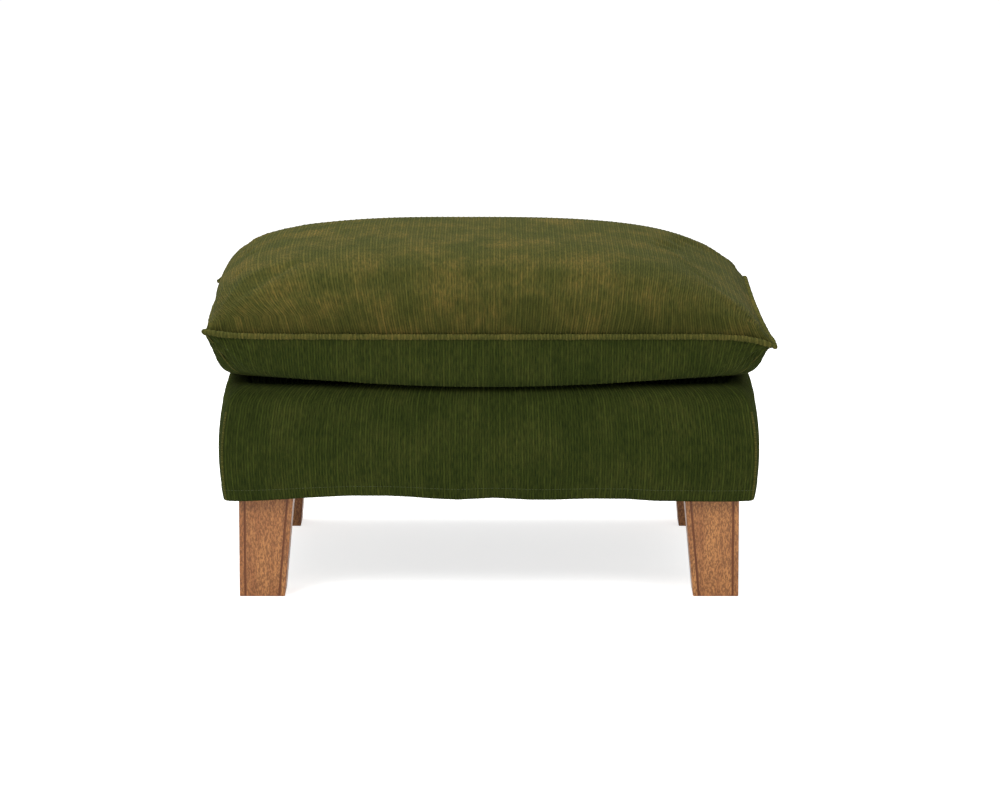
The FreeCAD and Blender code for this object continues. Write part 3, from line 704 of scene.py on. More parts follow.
@dataclass
class BaseCover:
    """Corduroy cover of the box base: four bulging sides, a top panel, a turned-up hem.

    The front hem's waves are places along the front and heights over the frame's hem, in millimetres.
    """

    cloth: bpy.types.Material
    seam_cloth: bpy.types.Material
    thread: bpy.types.Material
    corner: float = 10 * MM
    side_bow: float = 8 * MM
    front_bow: float = 4 * MM
    fullness: float = 5.0
    hem_in: float = 5 * MM
    shoulder_in: float = 6 * MM
    shoulder_round: float = 34 * MM
    hem_stitch: float = 15 * MM
    hem_wave: float = 2.2 * MM
    hem_rise: float = 3 * MM
    stitch_length: float = 3.4 * MM
    stitch_pitch: float = 4.6 * MM
    stitch_thickness: float = 1.0 * MM
    stitch_height: float = 0.9 * MM
    drape: float = 1.6 * MM
    dent_width: float = 1.6 * MM
    rows: int = 44
    front_hem: tuple[tuple[float, float], ...] = (
        (-352, -1.6), (-254, 5.0), (-189, 7.9), (-140, 7.9), (-107, 6.5), (-75, 4.0), (-42, 2.4), (7, 5.0),
        (56, 2.4), (88, 2.4), (137, 3.8), (186, 3.8), (227, 0.6), (349, -1.6),
    )

    def __post_init__(self) -> None:
        """Take the outer sizes from the frame and lay out the sides' profile."""
        low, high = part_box("base_cover_front")
        self.half_y = -low.y - self.front_bow
        self.half_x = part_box("base_cover_right")[1].x
        self.hem_z = low.z
        self.top_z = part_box("base_cover_top")[1].z
        self.bend_z = self.top_z - self.shoulder_round
        self.centre = Vector((0, 0, (self.hem_z + self.top_z) / 2))
        points = []
        for step in np.linspace(0, 1, 40):
            swell = self.hem_in if step < 0.5 else self.shoulder_in
            points.append((swell * (2 * step - 1) ** 2, self.hem_z + step * (self.bend_z - self.hem_z)))
        for turn in np.linspace(0.05, 1, 20) * math.pi / 2:
            points.append((
                self.shoulder_in + self.shoulder_round * (1 - math.cos(turn)),
                self.bend_z + self.shoulder_round * math.sin(turn),
            ))
        places = np.array(points)
        steps = np.hypot(*np.diff(places, axis=0).T)
        length = np.concatenate([[0], np.cumsum(steps)])
        self.height = float(length[-1])
        self.profile = (length / length[-1], places[:, 0], places[:, 1])
        self.straight_share = float(np.interp(self.bend_z, places[:, 1], length)) / self.height

    def bow_of(self, side: Side) -> float:
        """How far a side stands out between its corners."""
        return self.front_bow if side.faces_y else self.side_bow

    def hem_change(self, side: Side, run: float) -> float:
        """Change of the hem's height where the loose cloth hangs in shallow waves.

        Args:
            side: the side.
            run: distance along it from its middle.

        Returns:
            The change, upwards.
        """
        if side is Side.FRONT:
            places, heights = zip(*self.front_hem)
            return float(np.interp(run / MM, places, heights)) * MM
        sway = noise.noise(Vector((run * 9, side.outward.x * 3 + side.outward.y * 5, 2.0)))
        return self.hem_wave * sway + self.hem_rise

    def side_point(self, side: Side, share: float, rise: float) -> Vector:
        """Point of a side panel.

        Args:
            side: the side.
            share: place along it, from -1 to 1.
            rise: share of the cloth's height, 0 at the hem and 1 on top of the shoulder.

        Returns:
            The point on the cloth's outer face.
        """
        inward = float(np.interp(rise, self.profile[0], self.profile[1]))
        z = float(np.interp(rise, self.profile[0], self.profile[2]))
        half_x, half_y = self.half_x - inward, self.half_y - inward
        flat, run = ring_point(side, share, half_x, half_y, self.corner, self.bow_of(side), self.fullness)
        fade = 1 - abs(share) ** 8
        z += self.hem_change(side, run) * (1 - rise) ** 3 * fade
        drape = noise.noise(Vector((run * 14, z * 5, side.outward.x + 2 * side.outward.y)))
        return Vector((flat.x, flat.y, z)) + Vector((*side.outward, 0)) * (self.drape * drape * fade)

    def side_relief(self, side: Side, share: float, rise: float) -> float:
        """Ribs, the hem's double layer and the dent of its stitching.

        Args:
            side: the side.
            share: place along it, from -1 to 1.
            rise: share of the cloth's height.

        Returns:
            The height over the cloth's face.
        """
        height = rise * self.height
        _, run = ring_point(side, share, self.half_x, self.half_y, self.corner)
        dent = math.exp(-(((height - self.hem_stitch) / self.dent_width) ** 2))
        folded = 1 - smooth_step(height, self.hem_stitch - 2 * MM, self.hem_stitch + 3 * MM)
        return rib_relief(run) * (1 - 0.6 * dent) + 0.7 * MM * folded - 1.0 * MM * dent

    def side_panel(self, side: Side) -> bpy.types.Object:
        """Build one side panel with its ribs upright.

        Args:
            side: the side.

        Returns:
            The piece.
        """
        _, reach = ring_point(side, 1.0, self.half_x, self.half_y, self.corner)
        shape = shaped_grid(
            columns_for(2 * reach), self.rows,
            lambda s, t: self.side_point(side, s, (t + 1) / 2),
            lambda s, t: (s * reach, (t + 1) / 2 * self.height),
            outward_from=self.centre,
            relief=lambda s, t: self.side_relief(side, s, (t + 1) / 2),
        )
        piece = new_piece(f"corduroy_base_{side.label}", shape, self.cloth)
        give_thickness(piece)
        fit(piece, "base", f"base_cover_{side.label}")
        return piece

    def lid(self) -> bpy.types.Object:
        """Build the top panel, its ribs running from front to back.

        Returns:
            The piece.
        """
        inward = self.shoulder_in + self.shoulder_round - 3 * MM
        reach_x, reach_y = self.half_x - inward, self.half_y - inward
        level = self.top_z - 1.2 * MM

        def place(s: float, t: float) -> Vector:
            """Point of the top panel's face."""
            x = s * (reach_x + self.side_bow * (1 - t**4))
            y = t * (reach_y + self.front_bow * (1 - s**4))
            return Vector((x, y, level))

        shape = shaped_grid(
            columns_for(2 * reach_x), 60, place, lambda s, t: (s * reach_x, t * reach_y),
            outward_from=self.centre,
            relief=lambda s, t: rib_relief(s * reach_x),
        )
        piece = new_piece("corduroy_base_top", shape, self.cloth)
        give_thickness(piece)
        fit(piece, "base", "base_cover_top")
        return piece

    def corner_seam(self, side: Side) -> bpy.types.Object:
        """Build the raised seam at a side's far end, from the hem to the shoulder.

        Args:
            side: the side.

        Returns:
            The piece.
        """
        shape = seam_tube(
            lambda share: self.side_point(side, 1.0, share * self.straight_share), 170, 1.8 * MM, 1.3 * MM
        )
        piece = new_piece(f"base_corner_seam_{side.label}", shape, self.seam_cloth)
        fit(piece, "base")
        return piece

    def hem_stitching(self, side: Side) -> bpy.types.Object:
        """Build the row of stitches over one side's hem.

        Args:
            side: the side.

        Returns:
            The piece.
        """
        shape = bmesh.new()
        _, reach = ring_point(side, 1.0, self.half_x, self.half_y, self.corner)
        rise = self.hem_stitch / self.height
        count = int(2 * reach / self.stitch_pitch)
        for number in range(count):
            share = -1 + 2 * (number + 0.5) / count
            point = self.side_point(side, share, rise)
            ahead = self.side_point(side, share + 0.002, rise) - point
            ahead.normalize()
            out = Vector((ahead.y, -ahead.x, 0))
            turn = Matrix((ahead, out, Vector((0, 0, 1)))).transposed().to_4x4()
            size = Matrix.Diagonal((self.stitch_length, self.stitch_thickness, self.stitch_height, 1))
            move = Matrix.Translation(point - out * 0.35 * MM)
            bmesh.ops.create_cube(shape, size=1.0, matrix=move @ turn @ size)
        bmesh.ops.bevel(
            shape, geom=shape.edges[:], offset=0.3 * MM, segments=1, profile=0.5, affect="EDGES", material=-1
        )
        piece = new_piece(f"hem_stitching_{side.label}", shape, self.thread)
        fit(piece, "base")
        return piece

    def build(self) -> None:
        """Build the whole cover."""
        for side in Side:
            self.side_panel(side)
            self.corner_seam(side)
            self.hem_stitching(side)
            LOG.info("base cover %s", side.label)
        self.lid()
        LOG.info("base cover top")


@dataclass
class Cushion:
    """Loose crowned cushion: top panel, boxing, bottom panel and a welt with four pulled-out ears.

    The left and right shifts draw the crown's outline out or in, in millimetres, at shares of its height.
    """

    top_cloth: bpy.types.Material
    side_cloth: bpy.types.Material
    welt_cloth: bpy.types.Material
    panel_bow: float = 4 * MM
    left_bow: float = 10 * MM
    right_bow: float = -3 * MM
    front_bow: float = 6 * MM
    left_power: float = 2.31
    right_power: float = 2.6
    depth_power: float = 3.4
    ridge_power: float = 1.3
    crown_height: float = 101 * MM
    crown_lean: float = -46 * MM
    front_droop: float = 3.5 * MM
    left_shift: tuple[tuple[float, float], ...] = (
        (0.0, 0.0), (0.25, 7.0), (0.5, -4.0), (0.7, -8.0), (0.85, -13.0), (1.0, -4.0)
    )
    right_shift: tuple[tuple[float, float], ...] = (
        (0.0, 0.0), (0.12, -8.0), (0.25, -10.0), (0.4, -15.0), (0.5, -15.0), (0.6, -12.0), (0.7, -8.0),
        (0.8, -4.0), (1.0, 0.0),
    )
    lean: float = 10 * MM
    tuck: float = 24 * MM
    lower_corner: float = 62 * MM
    corner_lift: float = 23 * MM
    lift_at: float = 350 * MM
    welt_half_height: float = 4.0 * MM
    welt_half_width: float = 3.8 * MM
    crown_rows: int = 76
    slot_half_height: float = 4.6 * MM
    slot_half_length: float = 264 * MM
    seam_corner: float = 2 * MM
    fold_height: float = 2.6 * MM
    fold_reach: float = 85 * MM
    fold_start: float = 14 * MM
    droop_from: float = 274 * MM
    droop_full: float = 292 * MM
    droop_half: float = 330 * MM
    crease_reach: float = 48 * MM
    crease_pitch: float = 17 * MM
    crease_height: float = 1.7 * MM
    swell_height: float = 1.4 * MM
    profile: tuple = field(init=False)
    puff: np.ndarray | None = None

    def __post_init__(self) -> None:
        """Take the sizes from the frame and measure the crown's profile."""
        panel_low, panel_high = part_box("cushion_top_panel")
        self.half_x = panel_high.x - self.panel_bow
        self.half_y = panel_high.y
        self.seam_z = (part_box("cushion_seam_welt")[0].z + panel_low.z) / 2
        self.bottom_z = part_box("cushion_bottom_panel")[0].z
        self.centre = Vector((0, 0, self.seam_z))
        self.shifts = [np.array(table).T * [[1], [MM]] for table in (self.left_shift, self.right_shift)]
        chain_low, chain_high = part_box("zip_chain")
        self.zip_z = (chain_low.z + chain_high.z) / 2
        turns = np.linspace(0, math.pi / 2, 400)
        out = np.cos(turns) ** (2 / self.right_power)
        up = np.sin(turns) ** (2 / self.right_power)
        steps = np.hypot(np.diff(out) * self.half_x, np.diff(up) * self.crown_height)
        length = np.concatenate([[0], np.cumsum(steps)])
        self.reach_x = float(length[-1])
        self.profile = (1 - length[::-1] / length[-1], out[::-1])
        self.reach_y = self.reach_x - self.half_x + self.half_y
        self.ears = (
            (Vector((-1, -1)), Vector((-9.5, -11.0, 9.0)) * MM, 20 * MM),
            (Vector((1, -1)), Vector((11.0, -10.5, -14.0)) * MM, 22 * MM),
            (Vector((-1, 1)), Vector((-30.0, 8.0, -13.0)) * MM, 15 * MM),
            (Vector((1, 1)), Vector((2.0, 7.0, -17.0)) * MM, 18 * MM),
        )

    def over_crown(self, share: float) -> float:
        """Place across the crown, as a share, for a share of the cloth's length over it."""
        return math.copysign(float(np.interp(abs(share), *self.profile)), share)

    def height_share(self, place: float, power: float) -> float:
        """Height of a crown section at a place from -1 to 1."""
        return max(1 - min(abs(place), 1.0) ** power, 0.0) ** (1 / power)

    def pulled(self, point: Vector) -> Vector:
        """Draw a point near a corner out towards its ear.

        Args:
            point: a point of the cover.

        Returns:
            The drawn-out point.
        """
        for way, tip, spread in self.ears:
            corner = Vector((way.x * self.half_x, way.y * self.half_y, self.seam_z))
            point = point + tip * math.exp(-(point - corner).length / spread)
        return point

    def pull_folds(self, point: Vector) -> float:
        """Height of the shallow folds that run from the ears over the crown.

        Args:
            point: a point of the crown.

        Returns:
            The height of the folds there.
        """
        height = 0.0
        for way, _, _ in self.ears:
            off = Vector((point.x - way.x * self.half_x, point.y - way.y * self.half_y))
            distance = off.length
            angle = math.atan2(off.y * -way.y, off.x * -way.x)
            fade = math.exp(-distance / self.fold_reach) * (1 - math.exp(-distance / self.fold_start))
            height += self.fold_height * fade * math.sin(11 * angle + 2 * way.x + way.y)
        return height

    def rise_at(self, x: float, y: float) -> float:
        """Height of the crown over the seam, as a share, at a place from -1 to 1 each way.

        Args:
            x: place across.
            y: place from front to back.

        Returns:
            The share, from 0 to 1.
        """
        a = (1 - self.height_share(x, self.left_power if x < 0 else self.right_power)) ** self.ridge_power
        b = (1 - self.height_share(y, self.depth_power)) ** self.ridge_power
        return 1 - (1 - (1 - a) * (1 - b)) ** (1 / self.ridge_power)

    def crown_point(self, s: float, t: float, inset: float = 0.0) -> Vector:
        """Point of the top panel.

        Args:
            s: share across, from -1 to 1.
            t: share from front to back, from -1 to 1.
            inset: distance inside the outer face.

        Returns:
            The point.
        """
        across = self.left_power if s < 0 else self.right_power
        deep = self.depth_power
        over_s, over_t = self.over_crown(s), self.over_crown(t)
        lift_s, lift_t = self.height_share(over_s, across) ** 0.7, self.height_share(over_t, deep) ** 0.7
        x = (1 - lift_t) * s + lift_t * over_s
        y = (1 - lift_s) * t + lift_s * over_t
        held = (1 - x**4) * self.crown_lean / self.half_x
        place = x
        for _ in range(4):
            place = min(max(x - held * self.rise_at(place, y) ** 1.35, -1.0), 1.0)
        rise = self.rise_at(place, y)
        shift = float(np.interp(rise, *self.shifts[place >= 0])) * smooth_step(abs(place), 0.45, 0.9)
        front = self.front_bow if y < 0 else 0.0
        wide = self.half_x - inset + self.bow_at(place) * (1 - y * y)
        long = self.half_y - inset + front * (1 - x * x)
        return self.pulled(Vector((
            place * wide + self.crown_lean * rise**1.35 + shift,
            y * long,
            self.seam_z + rise * (self.crown_height - inset),
        )))

    def puffed_point(self, s: float, t: float) -> Vector:
        """Point of the top panel with what the simulated cloth adds.

        Args:
            s: share across, from -1 to 1.
            t: share from front to back, from -1 to 1.

        Returns:
            The point.
        """
        point = self.crown_point(s, t)
        if self.puff is None:
            return point
        rows, columns = self.puff.shape[0] - 1, self.puff.shape[1] - 1
        u, v = (s + 1) / 2 * columns, (t + 1) / 2 * rows
        i, j = min(int(u), columns - 1), min(int(v), rows - 1)
        u, v = u - i, v - j
        low = self.puff[j, i] * (1 - u) + self.puff[j, i + 1] * u
        high = self.puff[j + 1, i] * (1 - u) + self.puff[j + 1, i + 1] * u
        return point + Vector(low * (1 - v) + high * v)

    def simulate(self, columns: int = 90, rows: int = 72, cap: float = 5 * MM) -> None:
        """Blow up a coarse copy of the crown as cloth sewn down at the seam.

        Args:
            columns: faces across.
            rows: faces along.
            cap: furthest that a point may move.
        """
        shape = shaped_grid(columns, rows, self.crown_point, outward_from=self.centre)
        shape.verts.index_update()
        count = len(shape.verts)
        normals = np.array([vert.normal for vert in shape.verts])
        bottom = bmesh.ops.duplicate(shape, geom=shape.faces[:])
        copies = [item for item in bottom["geom"] if isinstance(item, bmesh.types.BMVert)]
        for vert in copies:
            vert.co.z = min(vert.co.z, self.seam_z)
        bmesh.ops.reverse_faces(
            shape, faces=[item for item in bottom["geom"] if isinstance(item, bmesh.types.BMFace)]
        )
        shape.verts.index_update()
        rest = np.array([vert.co for vert in shape.verts])[:count]
        edge = [vert.index for vert in shape.verts if vert.is_boundary]
        pinned = sorted(set(edge) | set(range(count, 2 * count)))
        mesh = bpy.data.meshes.new("crown_cloth")
        shape.to_mesh(mesh)
        shape.free()
        cloth_object = bpy.data.objects.new("crown_cloth", mesh)
        bpy.context.scene.collection.objects.link(cloth_object)
        group = cloth_object.vertex_groups.new(name="sewn")
        group.add(pinned, 1.0, "REPLACE")
        cloth = cloth_object.modifiers.new("Cloth", "CLOTH")
        settings = cloth.settings
        settings.vertex_group_mass = "sewn"
        settings.use_pressure = True
        settings.uniform_pressure_force = 4.0
        settings.shrink_min = -0.018
        settings.quality = 6
        settings.bending_stiffness = 0.6
        settings.tension_stiffness = 20.0
        settings.compression_stiffness = 20.0
        settings.effector_weights.gravity = 0.0
        cloth.collision_settings.use_collision = False
        scene = bpy.context.scene
        cloth.point_cache.frame_start, cloth.point_cache.frame_end = 1, 20
        for number in range(1, 21):
            scene.frame_set(number)
        graph = bpy.context.evaluated_depsgraph_get()
        blown = cloth_object.evaluated_get(graph).to_mesh()
        moved = np.array([vert.co for vert in blown.vertices])[:count] - rest
        out = np.sum(moved * normals, axis=1, keepdims=True)
        self.puff = (normals * np.clip(out, -0.5 * MM, cap)).reshape(rows + 1, columns + 1, 3)
        LOG.info("crown cloth moved %.1f to %.1f mm", float(out.min()) / MM, float(out.max()) / MM)
        bpy.data.objects.remove(cloth_object)
        bpy.data.meshes.remove(mesh)
        scene.frame_set(1)

    def top_panel(self) -> bpy.types.Object:
        """Build the crowned top panel, its ribs running from front to back.

        Returns:
            The piece.
        """
        shape = shaped_grid(
            columns_for(2 * self.half_x), self.crown_rows,
            self.puffed_point,
            lambda s, t: (s * self.reach_x, t * self.reach_y),
            outward_from=self.centre,
            relief=lambda s, t: rib_relief(s * self.reach_x) + self.pull_folds(self.crown_point(s, t)),
        )
        piece = new_piece("corduroy_cushion_top", shape, self.top_cloth)
        give_thickness(piece)
        fit(piece, "cushion", "cushion_top_panel")
        return piece

    def lift(self, x: float, y: float) -> float:
        """How far the cushion's lower face stands off the base at a place."""
        sideways, endways = min(abs(x) / self.lift_at, 1.05), min(abs(y) / self.half_y, 1.0)
        return self.corner_lift * sideways**2 * endways**4

    def bow_of(self, side: Side) -> float:
        """How far the cushion stands out at the middle of a side."""
        bows = {Side.FRONT: self.front_bow, Side.BACK: 0.0, Side.LEFT: self.left_bow}
        return bows.get(side, self.right_bow)

    def bow_at(self, x: float) -> float:
        """Bow of the left or the right side, for a place across the cushion."""
        return self.left_bow if x < 0 else self.right_bow

    def ring(self, drop: float) -> tuple[float, float, float, float]:
        """Size of the boxing's outline at one level.

        Args:
            drop: 0 at the seam and 1 at the lower edge.

        Returns:
            Half the width, the depth to the front, the depth to the back and the corner radius.
        """
        tuck = self.tuck * (1 - math.sqrt(max(1 - drop**8, 0.0)))
        back_tuck = self.tuck * (1 - math.sqrt(max(1 - drop**14, 0.0)))
        inward = self.lean * drop + tuck
        radius = self.seam_corner + self.lower_corner * drop
        return self.half_x - inward, self.half_y - inward, self.half_y - back_tuck, radius

    def boxing_point(self, side: Side, share: float, drop: float) -> Vector:
        """Point of the boxing.

        Args:
            side: the side.
            share: place along it, from -1 to 1.
            drop: 0 at the seam and 1 at the lower edge.

        Returns:
            The point on the cloth's outer face.
        """
        half_x, front, back, radius = self.ring(drop)
        half_y = (front + back) / 2
        reach = (half_x if side.faces_y else half_y) - radius * (1 - math.pi / 4)
        spare = self.reach_of(side) / reach - 1
        share = share * (1 + spare * (1 - abs(share) ** 5))
        flat, _ = ring_point(side, share, half_x, half_y, radius, self.bow_of(side))
        flat.y += (back - front) / 2
        z = self.seam_z - drop * (self.seam_z - self.bottom_z)
        z += self.lift(flat.x, flat.y) * drop
        droop = smooth_step(-flat.y, self.droop_from, self.droop_full)
        droop *= max(1 - (flat.x / self.droop_half) ** 2, 0.0)
        z -= self.front_droop * droop * drop**4
        return self.pulled(Vector((flat.x, flat.y, z)))

    def reach_of(self, side: Side) -> float:
        """Half the cloth's length along a side at the seam."""
        return ring_point(side, 1.0, self.half_x, self.half_y, self.seam_corner)[1]

    def boxing_relief(self, side: Side, share: float, drop: float) -> float:
        """Ribs, and the slanted pull wrinkles beside the ears.

        Args:
            side: the side.
            share: place along it, from -1 to 1.
            drop: 0 at the seam and 1 at the lower edge.

        Returns:
            The height over the cloth's face.
        """
        run = share * self.reach_of(side)
        from_corner = self.reach_of(side) - abs(run)
        calm = 0.15 if side is Side.BACK else 1.0
        fade = math.exp(-((from_corner / self.crease_reach) ** 2)) * math.sin(math.pi * min(drop + 0.08, 1.0))
        height = drop * (self.seam_z - self.bottom_z)
        crease = math.sin(2 * math.pi * (from_corner - 0.55 * height) / self.crease_pitch)
        swell = noise.noise(Vector((run * 16, drop * 2, 7 + side.outward.x + 2 * side.outward.y)))
        folds = self.crease_height * crease * fade + self.swell_height * swell * math.sin(math.pi * drop)
        return rib_relief(run) + calm * folds

    def boxing(self, side: Side) -> bpy.types.Object:
        """Build one side of the boxing with its ribs upright.

        Args:
            side: the side.

        Returns:
            The piece.
        """
        reach = self.reach_of(side)
        height = self.seam_z - self.bottom_z
        slot = [(self.seam_z - self.zip_z + way * self.slot_half_height) / height for way in (1, -1)]
        levels = [1, slot[0], slot[1], 0] if side is Side.BACK else [1, 0.54, 0.46, 0]

        def drop_at(t: float) -> float:
            """Level of a row of faces, with two rows at the edges of the slot."""
            return float(np.interp(t, [-1, -1 / 13, 1 / 13, 1], levels))

        shape = shaped_grid(
            columns_for(2 * reach), 26,
            lambda s, t: self.boxing_point(side, s, drop_at(t)),
            lambda s, t: (s * reach, (1 - drop_at(t)) * height),
            outward_from=self.centre,
            relief=lambda s, t: self.boxing_relief(side, s, drop_at(t)),
        )
        if side is Side.BACK:
            inside = [
                face for face in shape.faces
                if abs(face.calc_center_median().x) < self.slot_half_length
                and abs(face.calc_center_median().z - self.zip_z) < self.slot_half_height
            ]
            bmesh.ops.delete(shape, geom=inside, context="FACES")
        piece = new_piece(f"corduroy_boxing_{side.label}", shape, self.side_cloth)
        give_thickness(piece)
        fit(piece, "cushion", f"cushion_boxing_{side.label}")
        return piece

    def corner_seam(self, side: Side) -> bpy.types.Object:
        """Build the seam that joins two strips of the boxing below an ear.

        Args:
            side: the side whose far end it closes.

        Returns:
            The piece.
        """
        shape = seam_tube(
            lambda share: self.boxing_point(side, 1.0, 0.05 + 0.9 * share), 60, 1.7 * MM, 1.0 * MM
        )
        piece = new_piece(f"boxing_corner_seam_{side.label}", shape, self.welt_cloth)
        fit(piece, "cushion")
        return piece

    def bottom_panel(self) -> bpy.types.Object:
        """Build the bottom panel, flat where it rests and lifted at its corners.

        Returns:
            The piece.
        """
        half_x, front, back, radius = self.ring(1.0)
        half_y = (front + back) / 2

        def place(s: float, t: float) -> Vector:
            """Point of the bottom panel's face."""
            wide = half_x + self.bow_at(s) * (1 - t * t)
            deep = half_y + (self.front_bow * (1 - s * s) if t < 0 else 0.0)
            x, y = rounded_in(s * wide, t * deep, wide, deep, radius)
            y += (back - front) / 2
            return Vector((x, y, self.bottom_z + self.lift(x, y)))

        shape = shaped_grid(
            columns_for(2 * half_x), 40, place, lambda s, t: (s * half_x, t * half_y),
            outward_from=self.centre, relief=lambda s, t: 0.5 * rib_relief(s * half_x) - 0.5 * RIB_HEIGHT,
        )
        piece = new_piece("corduroy_cushion_bottom", shape, self.side_cloth)
        give_thickness(piece)
        fit(piece, "cushion", "cushion_bottom_panel")
        return piece

    def seam_station(self, place: float) -> tuple[Vector, Vector, float]:
        """Point on the seam's line all round the cushion.

        Args:
            place: 0 to 4, one unit for each side.

        Returns:
            The point, the outward direction and the distance round.
        """
        number = int(place) % 4
        side = list(Side)[number]
        share = 2 * (place - int(place)) - 1
        flat, run = ring_point(side, share, self.half_x, self.half_y, self.seam_corner, self.bow_of(side))
        corner_share = abs(share) ** 40
        diagonal = Vector((math.copysign(1, flat.x), math.copysign(1, flat.y), 0)).normalized()
        out = (Vector((*side.outward, 0)) * (1 - corner_share) + diagonal * corner_share).normalized()
        return self.pulled(Vector((flat.x, flat.y, self.seam_z))), out, run

    def welt(self) -> bpy.types.Object:
        """Build the raised, ribbed welt that runs round the seam and out into the ears.

        Returns:
            The piece.
        """
        around = 2 * (self.half_x + self.half_y) * 2
        stations = round(around / RIB_COLUMN)

        def place(s: float, t: float) -> Vector:
            """Point of the welt's face."""
            centre, out, run = self.seam_station(min((s + 1) * 2, 4 - 1e-9))
            turn = math.pi * t
            fat = 1 + 0.12 * math.cos(2 * math.pi * run / (5.0 * MM))
            fat += 0.2 * noise.noise(Vector((run * 60, out.x * 4, out.y * 4)))
            fat -= 0.45 * abs(2 * (((s + 1) * 2) % 1) - 1) ** 120
            return centre + (
                out * math.cos(turn) * self.welt_half_width
                + Vector((0, 0, 1)) * math.sin(turn) * self.welt_half_height
            ) * fat

        shape = shaped_grid(stations, 10, place, lambda s, t: (s * around / 2, t * 11 * MM))
        bmesh.ops.remove_doubles(shape, verts=shape.verts, dist=1e-5)
        bmesh.ops.recalc_face_normals(shape, faces=shape.faces)
        piece = new_piece("cushion_welt", shape, self.welt_cloth)
        fit(piece, "cushion", "cushion_seam_welt")
        return piece

    def build(self) -> None:
        """Build the cushion's cover."""
        self.simulate()
        self.top_panel()
        LOG.info("cushion top")
        for side in Side:
            self.boxing(side)
            self.corner_seam(side)
            LOG.info("boxing %s", side.label)
        self.bottom_panel()
        self.welt()
        LOG.info("welt")


